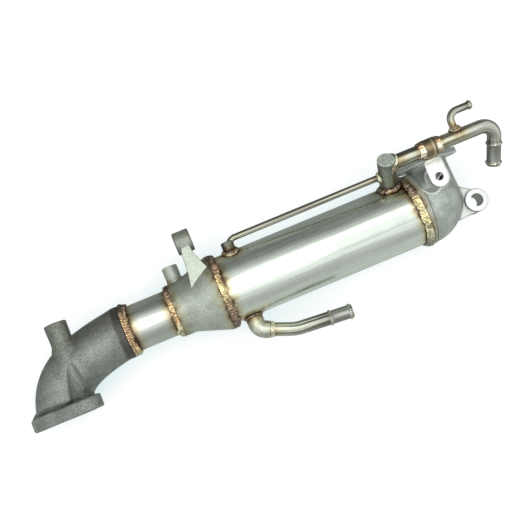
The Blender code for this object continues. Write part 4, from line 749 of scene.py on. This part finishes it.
# Bleed line. A thin tube that lets air out of the inlet end of the shell: it leaves the top of a small post,
# bends over and runs along the shell to the header. The post's foot is brazed in gold, the header's end in silver.
BLEED_PORT = HEADER_TOP - HEADER_AXIS * 0.0165
PIPE_STEEL, shader, place = new_metal("satin_coolant_pipe", 1.0, 0.17)
drawn = node(place.id_data, "Attribute", attribute_name="drawn").outputs["Vector"]
bead_and_bore_shade = node(place.id_data, "Attribute", attribute_name="bead_and_bore_shade").outputs["Fac"]
lines = grain(drawn, 0.0016, 3.0, (0.03, 1, 1))
scuffs = grain(place, 0.0060, 4.0)
skin = blend(step(lines, 0.38, 0.58), (0.25, 0.255, 0.205), (0.56, 0.58, 0.50))
skin = blend(step(scuffs, 0.52, 0.75, 0.0, 0.35), skin, (0.30, 0.28, 0.21))
from_braze = apart(place, HEADER_PORT + ALONG * 0.0070, (0.3270, 0.0842, 0.0333), (0.3380, 0.0842, 0.0333),
                   (0.3566, 0.0880, 0.0333), (0.1691, 0.0045, 0), BLEED_PORT - ALONG * 0.0070)
tinted = heat_rings(skin, less(from_braze, 0.0035), 0.0100, uneven(place, 0.004, 0.0012))
span = split(place)
on_bleed = times(step(span["X"], 0.2900, 0.2890), step(span["Y"], 0.0560, 0.0570, 0.0, 0.6))
tinted = blend(on_bleed, tinted, (0.20, 0.185, 0.135))
shaded = times(step(span["Y"], 0.0830, 0.0870), step(span["X"], 0.3300, 0.3290, 0.0, 0.65),
               step(span["X"], 0.3040, 0.3050))
tinted = blend(shaded, tinted, (0.070, 0.070, 0.052))
hose_end = step(apart(place, (0.3827, 0.0637, 0.0186), (0.2243, -0.0062, 0.0)), 0.0098, 0.0078)
tinted = blend(times(hose_end, 0.75), tinted, (0.80, 0.84, 0.77))
# Painted shade in the creases beside the beads and inside the pipe.
feed(shader, blend(times(bead_and_bore_shade, 0.85), tinted, (0.05, 0.05, 0.04)))
feed(shader, plus(step(lines, 0.3, 0.7, 0.22, 0.13), times(hose_end, 0.16)), "Roughness")
roughen(shader, [(lines, 0.14, 0.00010), (scuffs, 0.08, 0.0004)])


def bent(corners, radius):
    """A path with straight legs and a round bend at each inner corner."""
    points = [corners[0]]
    for before, corner, after in zip(corners, corners[1:], corners[2:]):
        into, out = (corner - before).normalized(), (after - corner).normalized()
        turn = into.angle(out)
        centre = corner + (out - into).normalized() * (radius / cos(turn / 2))
        start = corner - into * (radius * tan(turn / 2)) - centre
        count = max(6, round(radius * turn / 0.0008))
        axis = into.cross(out).normalized()
        points += [centre + Matrix.Rotation(turn * k / count, 3, axis) @ start for k in range(count + 1)]
    return points + [corners[-1]]


def pipe(points, radius, wall, sides, beads=(), height=0.0, width=0.003):
    """A drawn pipe along a path, with a rolled bead at each distance from its end."""
    tail, before = points[-1], points[-2]
    leg = (before - tail).length
    extra = sorted({bead + width * k / 20 for bead in beads for k in range(-10, 11)}, reverse=True)
    points = points[:-1] + [tail + (before - tail) * (at / leg) for at in extra if 1e-5 < at < leg] + [tail]
    stations = []
    for turned, here in zip(rail(points), points):
        swell = 0.0
        if extra and (here - tail).length < leg:
            nearest = min(abs((here - tail).length - bead) for bead in beads)
            swell = height * cos(pi / 2 * min(1.0, nearest / (width / 2))) ** 1.5
        stations.append((turned, radius + swell))
    runs = [0.0]
    for here, ahead in zip(points, points[1:]):
        runs.append(runs[-1] + (ahead - here).length)
    creases = [runs[-1] - bead + side * width * 0.56 for bead in beads for side in (-1, 1)]
    inner = [(turned, radius - wall) for turned, outer in stations[::-1]]
    bm = bmesh.new()
    drawn = bm.verts.layers.float_vector.new("drawn")
    bead_and_bore_shade = bm.verts.layers.float.new("bead_and_bore_shade")

    def mark(count, verts):
        outside = count < len(points)
        turned = (stations + inner)[count][0].inverted()
        run = runs[count] if outside else runs[2 * len(points) - 1 - count]
        near = min([abs(run - crease) for crease in creases], default=1.0)
        for vert in verts:
            local = turned @ vert.co
            vert[drawn] = (run, local.x, local.y)
            # Painted shade: full in the creases beside the beads, 0.6 inside the pipe.
            vert[bead_and_bore_shade] = max(0.0, 1 - near / 0.0007) if outside else 0.6

    sweep(bm, stations + inner, sides, hollow=True, mark=mark)
    return raw(bm)


corner = BLEED_FITTING + Vector((0.0045, 0.0350, 0))
heading = (BLEED_PORT - corner).normalized()
riser = BLEED_FITTING + ACROSS * 0.0307
set_down(pipe(bent([riser, corner, BLEED_PORT - heading * 0.00625], 0.0080), 0.0025, 0.0006, 32), "bleed_line_tube",
         PIPE_STEEL, "pipe_stainless", "bleed_tube")
post = bar(BLEED_FITTING + ACROSS * 0.0135, BLEED_FITTING + ACROSS * 0.0338, 0.0050, 48, edge=0.0005)
channel = rail(bent([riser, corner, corner + heading * 0.0120], 0.0080))
weld_in(post, [bar(on_axis(0.1450), on_axis(0.1850), SHELL_SOCKET, 160),
               swept([(turned, 0.0028) for turned in channel], 32)], "DIFFERENCE")
BLEED_STEEL, shader, place, skin = brushed(
    "dark_bleed_fitting", (0.24, 0.25, 0.21), (0.13, 0.135, 0.115), 0.30, (1, 1, 1), 0.0030)
feed(shader, heat_rings(skin, less(split(place)["Y"], AXIS_Y + 0.0262), 0.0060, 0.0))
set_down(post, "bleed_line_fitting", BLEED_STEEL, "fitting_steel", "bleed_fitting")
BRAZE = weld_metal("golden_braze", ((0.26, 0.15, 0.08), (0.66, 0.48, 0.26), (0.86, 0.78, 0.56), (0.92, 0.90, 0.80)),
                   0.0022, roughness=0.24)
SILVER_BRAZE = weld_metal("silver_braze", ((0.46, 0.39, 0.24), (0.80, 0.77, 0.56), (0.90, 0.90, 0.76)), 0.0034,
                          roughness=0.24)
flow("bleed_fitting_braze", "bleed_fitting_fillet", BRAZE, "braze_gold", 0.0004, 3, 0.0004, 2.0)
flow("bleed_header_braze", "bleed_header_fillet", SILVER_BRAZE, "braze_gold", 0.0003, 3, 0.0003, 3.0)

# Coolant outlet pipe. It leaves the header, passes over the head and turns down to a mouth with two rolled
# beads that hold a hose. A small vent pipe stands on it, set into the pipe's wall and brazed round its foot.
HOSE_BEADS = (0.0021, 0.0181)
tilt, swing = radians(35.0), radians(13.5)
downward = Vector((-cos(tilt) * sin(swing), -cos(tilt) * cos(swing), -sin(tilt)))
corner = HEADER_PORT + ALONG * 0.0905
path = bent([HEADER_PORT + ALONG * 0.00625, corner, corner + downward * 0.0358], 0.0105)
set_down(pipe(path, PIPE_RADIUS, 0.0010, 56, HOSE_BEADS, 0.0010), "coolant_outlet_run", PIPE_STEEL,
         "pipe_stainless", "coolant_outlet_pipe")
flow("header_pipe_braze", "header_pipe_fillet", SILVER_BRAZE, "braze_gold", 0.0004, 4, 0.0004, 4.0)
vent_base = HEADER_PORT + ALONG * 0.0595
corner = vent_base + ACROSS * 0.0192
vent = pipe(bent([vent_base, corner, corner + ALONG * 0.0195], 0.0072), 0.0029, 0.0007, 40, (0.0016,), 0.0008)
saddle = bar(vent_base - ALONG * 0.010, vent_base + ALONG * 0.010, PIPE_RADIUS + 0.0003, 56)
weld_in(vent, [saddle], "DIFFERENCE")
set_down(vent, "coolant_vent", PIPE_STEEL, "pipe_stainless", "vent_pipe")
flow("vent_braze", "vent_foot_fillet", BRAZE, "braze_gold", 0.0003, 4, 0.0004, 5.0)

# Pipe bracket. Bright steel strip, pressed over the outlet pipe and bent out to a drilled tab that one screw
# holds to the head's boss. A braze on each side ties the strap to the pipe.
SHEET_STEEL, shader, place, skin = brushed(
    "bright_pressed_sheet", (0.90, 0.90, 0.88), (0.80, 0.80, 0.78), 0.34, (1, 0.2, 1), 0.0009)
along = split(place)
strap = step(along["Y"], 0.0752, 0.0772)
# The strap's own brown, with a painted highlight in a stripe down it, and darker along its upper edge.
strap_colour_and_highlight = blend(step(off(along["X"], 0.3345), 0.0009, 0.0003, 0.0, 0.8), (0.24, 0.195, 0.11), (0.62, 0.54, 0.38))
strap_colour_and_highlight = blend(step(along["Y"], 0.0888, 0.0904, 0.0, 0.8), strap_colour_and_highlight, (0.07, 0.045, 0.03))
# Painted shade on the tab below its bend.
painted_shade = blend(step(along["Y"], 0.0690, 0.0765, 0.0, 0.55), skin, (0.48, 0.48, 0.39))
feed(shader, blend(strap, painted_shade, strap_colour_and_highlight))
bm = bmesh.new()
bm.from_mesh(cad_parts["pipe_bracket"].data)
bracket = raw(bm)
rounding = bracket.modifiers.new("pressed edges", "BEVEL")
rounding.width = 0.0003
rounding.segments = 2
rounding.angle_limit = radians(50)
settle(bracket)
# Its colours go by height round the pipe, partly as painted light and shade.
STRAP_BRAZE = weld_metal(
    "strap_braze", (BRONZE, (0.90, 0.88, 0.66), (0.94, 0.93, 0.78), AMBER, COPPER, PLUM), 0.0026, 0.0068,
    roughness=0.24, middle=HEADER_PORT.y)
set_down(bracket, "pressed_pipe_bracket", SHEET_STEEL, "bright_sheet", "pipe_bracket", sharp=40)
flow("bracket_braze_inner", "bracket_inner_fillet", STRAP_BRAZE, "braze_gold", 0.0004, 4, 0.0009, 6.0)
flow("bracket_braze_outer", "bracket_outer_fillet", STRAP_BRAZE, "braze_gold", 0.0004, 4, 0.0006, 7.0)

# Coolant inlet. A bent fitting welded under the shell and a pipe brazed into it, which follows the shell
# and ends in two rolled beads for the hose.
slope, end_slope = radians(22.0), radians(4.7)
INLET_HEADING = Vector((cos(slope), -sin(slope), 0))
fitting_corner = Vector((INLET_X, AXIS_Y - 0.0382, 0))
fitting_end = fitting_corner + INLET_HEADING * 0.0085
inside = Vector((INLET_X, AXIS_Y - 0.0189, 0))
outer = rail(bent([inside, fitting_corner, fitting_end], 0.0074))
fitting = mould(swept([(turned, 0.00685) for turned in outer], 64), 0.0004, 3)
inner = rail(bent([inside + ACROSS * 0.004, fitting_corner, fitting_end + INLET_HEADING * 0.001], 0.0074))
weld_in(fitting, [swept([(turned, 0.00445) for turned in inner], 48),
                  bar(fitting_end - INLET_HEADING * 0.0034, fitting_end + INLET_HEADING * 0.004, 0.00575, 160),
                  bar(on_axis(0.1400), on_axis(0.1850), SHELL_SOCKET, 160)], "DIFFERENCE")
INLET_STEEL, shader, place, skin = brushed(
    "cast_inlet_elbow_steel", (0.56, 0.58, 0.48), (0.38, 0.40, 0.32), 0.32, (1, 1, 1), 0.0030)
feed(shader, heat_rings(skin, less(AXIS_Y - 0.0275, split(place)["Y"]), 0.0075, 0.0))
set_down(fitting, "coolant_inlet_elbow", INLET_STEEL, "fitting_steel", "coolant_inlet_fitting")
flow("coolant_inlet_weld", "coolant_inlet_bead", DARK_WELD, "weld_bead", 0.0003, 2, 0.0003, 8.0)
bend = fitting_end + INLET_HEADING * 0.0207
tail = bend + Vector((cos(end_slope), -sin(end_slope), 0)) * 0.0462
path = bent([fitting_end - INLET_HEADING * 0.0031, bend, tail], 0.0350)
set_down(pipe(path, PIPE_RADIUS, 0.0010, 56, HOSE_BEADS, 0.0010), "coolant_inlet_run", PIPE_STEEL,
         "pipe_stainless", "coolant_inlet_pipe")
flow("inlet_pipe_braze", "inlet_pipe_fillet", SILVER_BRAZE, "braze_gold", 0.0003, 3, 0.0005, 9.0)

# Floor. A pale seamless sheet just under the part, plain white to the camera with a faint cool shadow.
# To metal it reads as a pale grey table that falls off behind the part.
bm = bmesh.new()
bmesh.ops.create_grid(bm, x_segments=1, y_segments=1, size=2.5)
bmesh.ops.translate(bm, vec=(0.2, 0.05, -0.0372), verts=bm.verts)
floor = raw(bm)
floor.name = "pale_sheet"
paper = bpy.data.materials.new("pale_sheet")
paper.use_nodes = True
tree = paper.node_tree
tree.nodes.clear()
ray = node(tree, "LightPath").outputs
glow = node(tree, "Emission", {"Color": (0.35, 0.65, 0.65, 1), "Strength": 1.0}).outputs[0]
dusk = node(tree, "BsdfDiffuse", {"Color": (0.78, 0.43, 0.43, 1)}).outputs[0]
seen = node(tree, "AddShader", {0: glow, 1: dusk}).outputs[0]
depth = split(node(tree, "TexCoord").outputs["Object"])["Y"]
fall = step(depth, -0.02, 0.10, 0.62, 0.30)
mirrored = node(tree, "Emission", {"Color": (0.97, 1.0, 0.97, 1), "Strength": fall}).outputs[0]
bounce = node(tree, "BsdfDiffuse", {"Color": (0.72, 0.72, 0.70, 1)}).outputs[0]
mixed = node(tree, "MixShader", {0: ray["Is Glossy Ray"], 1: bounce, 2: mirrored}).outputs[0]
mixed = node(tree, "MixShader", {0: ray["Is Camera Ray"], 1: mixed, 2: seen}).outputs[0]
tree.links.new(mixed, node(tree, "OutputMaterial").inputs["Surface"])
floor.data.materials.append(paper)

# Light. A broad softbox overhead, and a plain room that is darker behind the part and paler in front,
# which is what the bands along the brushed shell show.
lamp = bpy.data.lights.new("softbox", "AREA")
lamp.shape = "RECTANGLE"
lamp.size = 1.3
lamp.size_y = 0.95
lamp.energy = 4.6
softbox = bpy.data.objects.new("softbox", lamp)
softbox.location = (0.10, 0.02, 1.05)
bpy.context.scene.collection.objects.link(softbox)
world = bpy.data.worlds.new("plain_room")
bpy.context.scene.world = world
world.use_nodes = True
tree = world.node_tree
toward = split(node(tree, "TexCoord").outputs["Generated"])
height = node(tree, "MapRange", {"Value": toward["Y"], "From Min": -1.0}).outputs["Result"]
tones = ((0.0, 0.50), (0.08, 0.54), (0.125, 0.78), (0.20, 1.0), (0.26, 1.0), (0.77, 0.90), (0.85, 0.50),
         (0.91, 0.32), (0.93, 0.24), (0.95, 0.18), (0.975, 0.22), (1.0, 0.20))
feed(tree.nodes["Background"], ramp(height, *[(position, [tone] * 3) for position, tone in tones]), "Color")
tree.nodes["Background"].inputs["Strength"].default_value = 1.0

# Camera. It looks down on the part from in front, as the photograph does.
lens = bpy.data.cameras.new("photo_view")
lens.angle = 2 * atan(256 / 820)
lens.clip_start = 0.01
lens.clip_end = 20
camera = bpy.data.objects.new("photo_view", lens)
right, down, ahead = Vector((.9221, -.3864, .0203)), Vector((-.3822, -.9177, -.1081)), Vector((.0604, .0920, -.9939))
camera.matrix_world = Matrix((right, -down, -ahead)).transposed().to_4x4()
camera.location = (0.1422, 0.0023, 0.6416)
bpy.context.scene.collection.objects.link(camera)
bpy.context.scene.camera = camera
bpy.context.scene.view_settings.view_transform = "Standard"
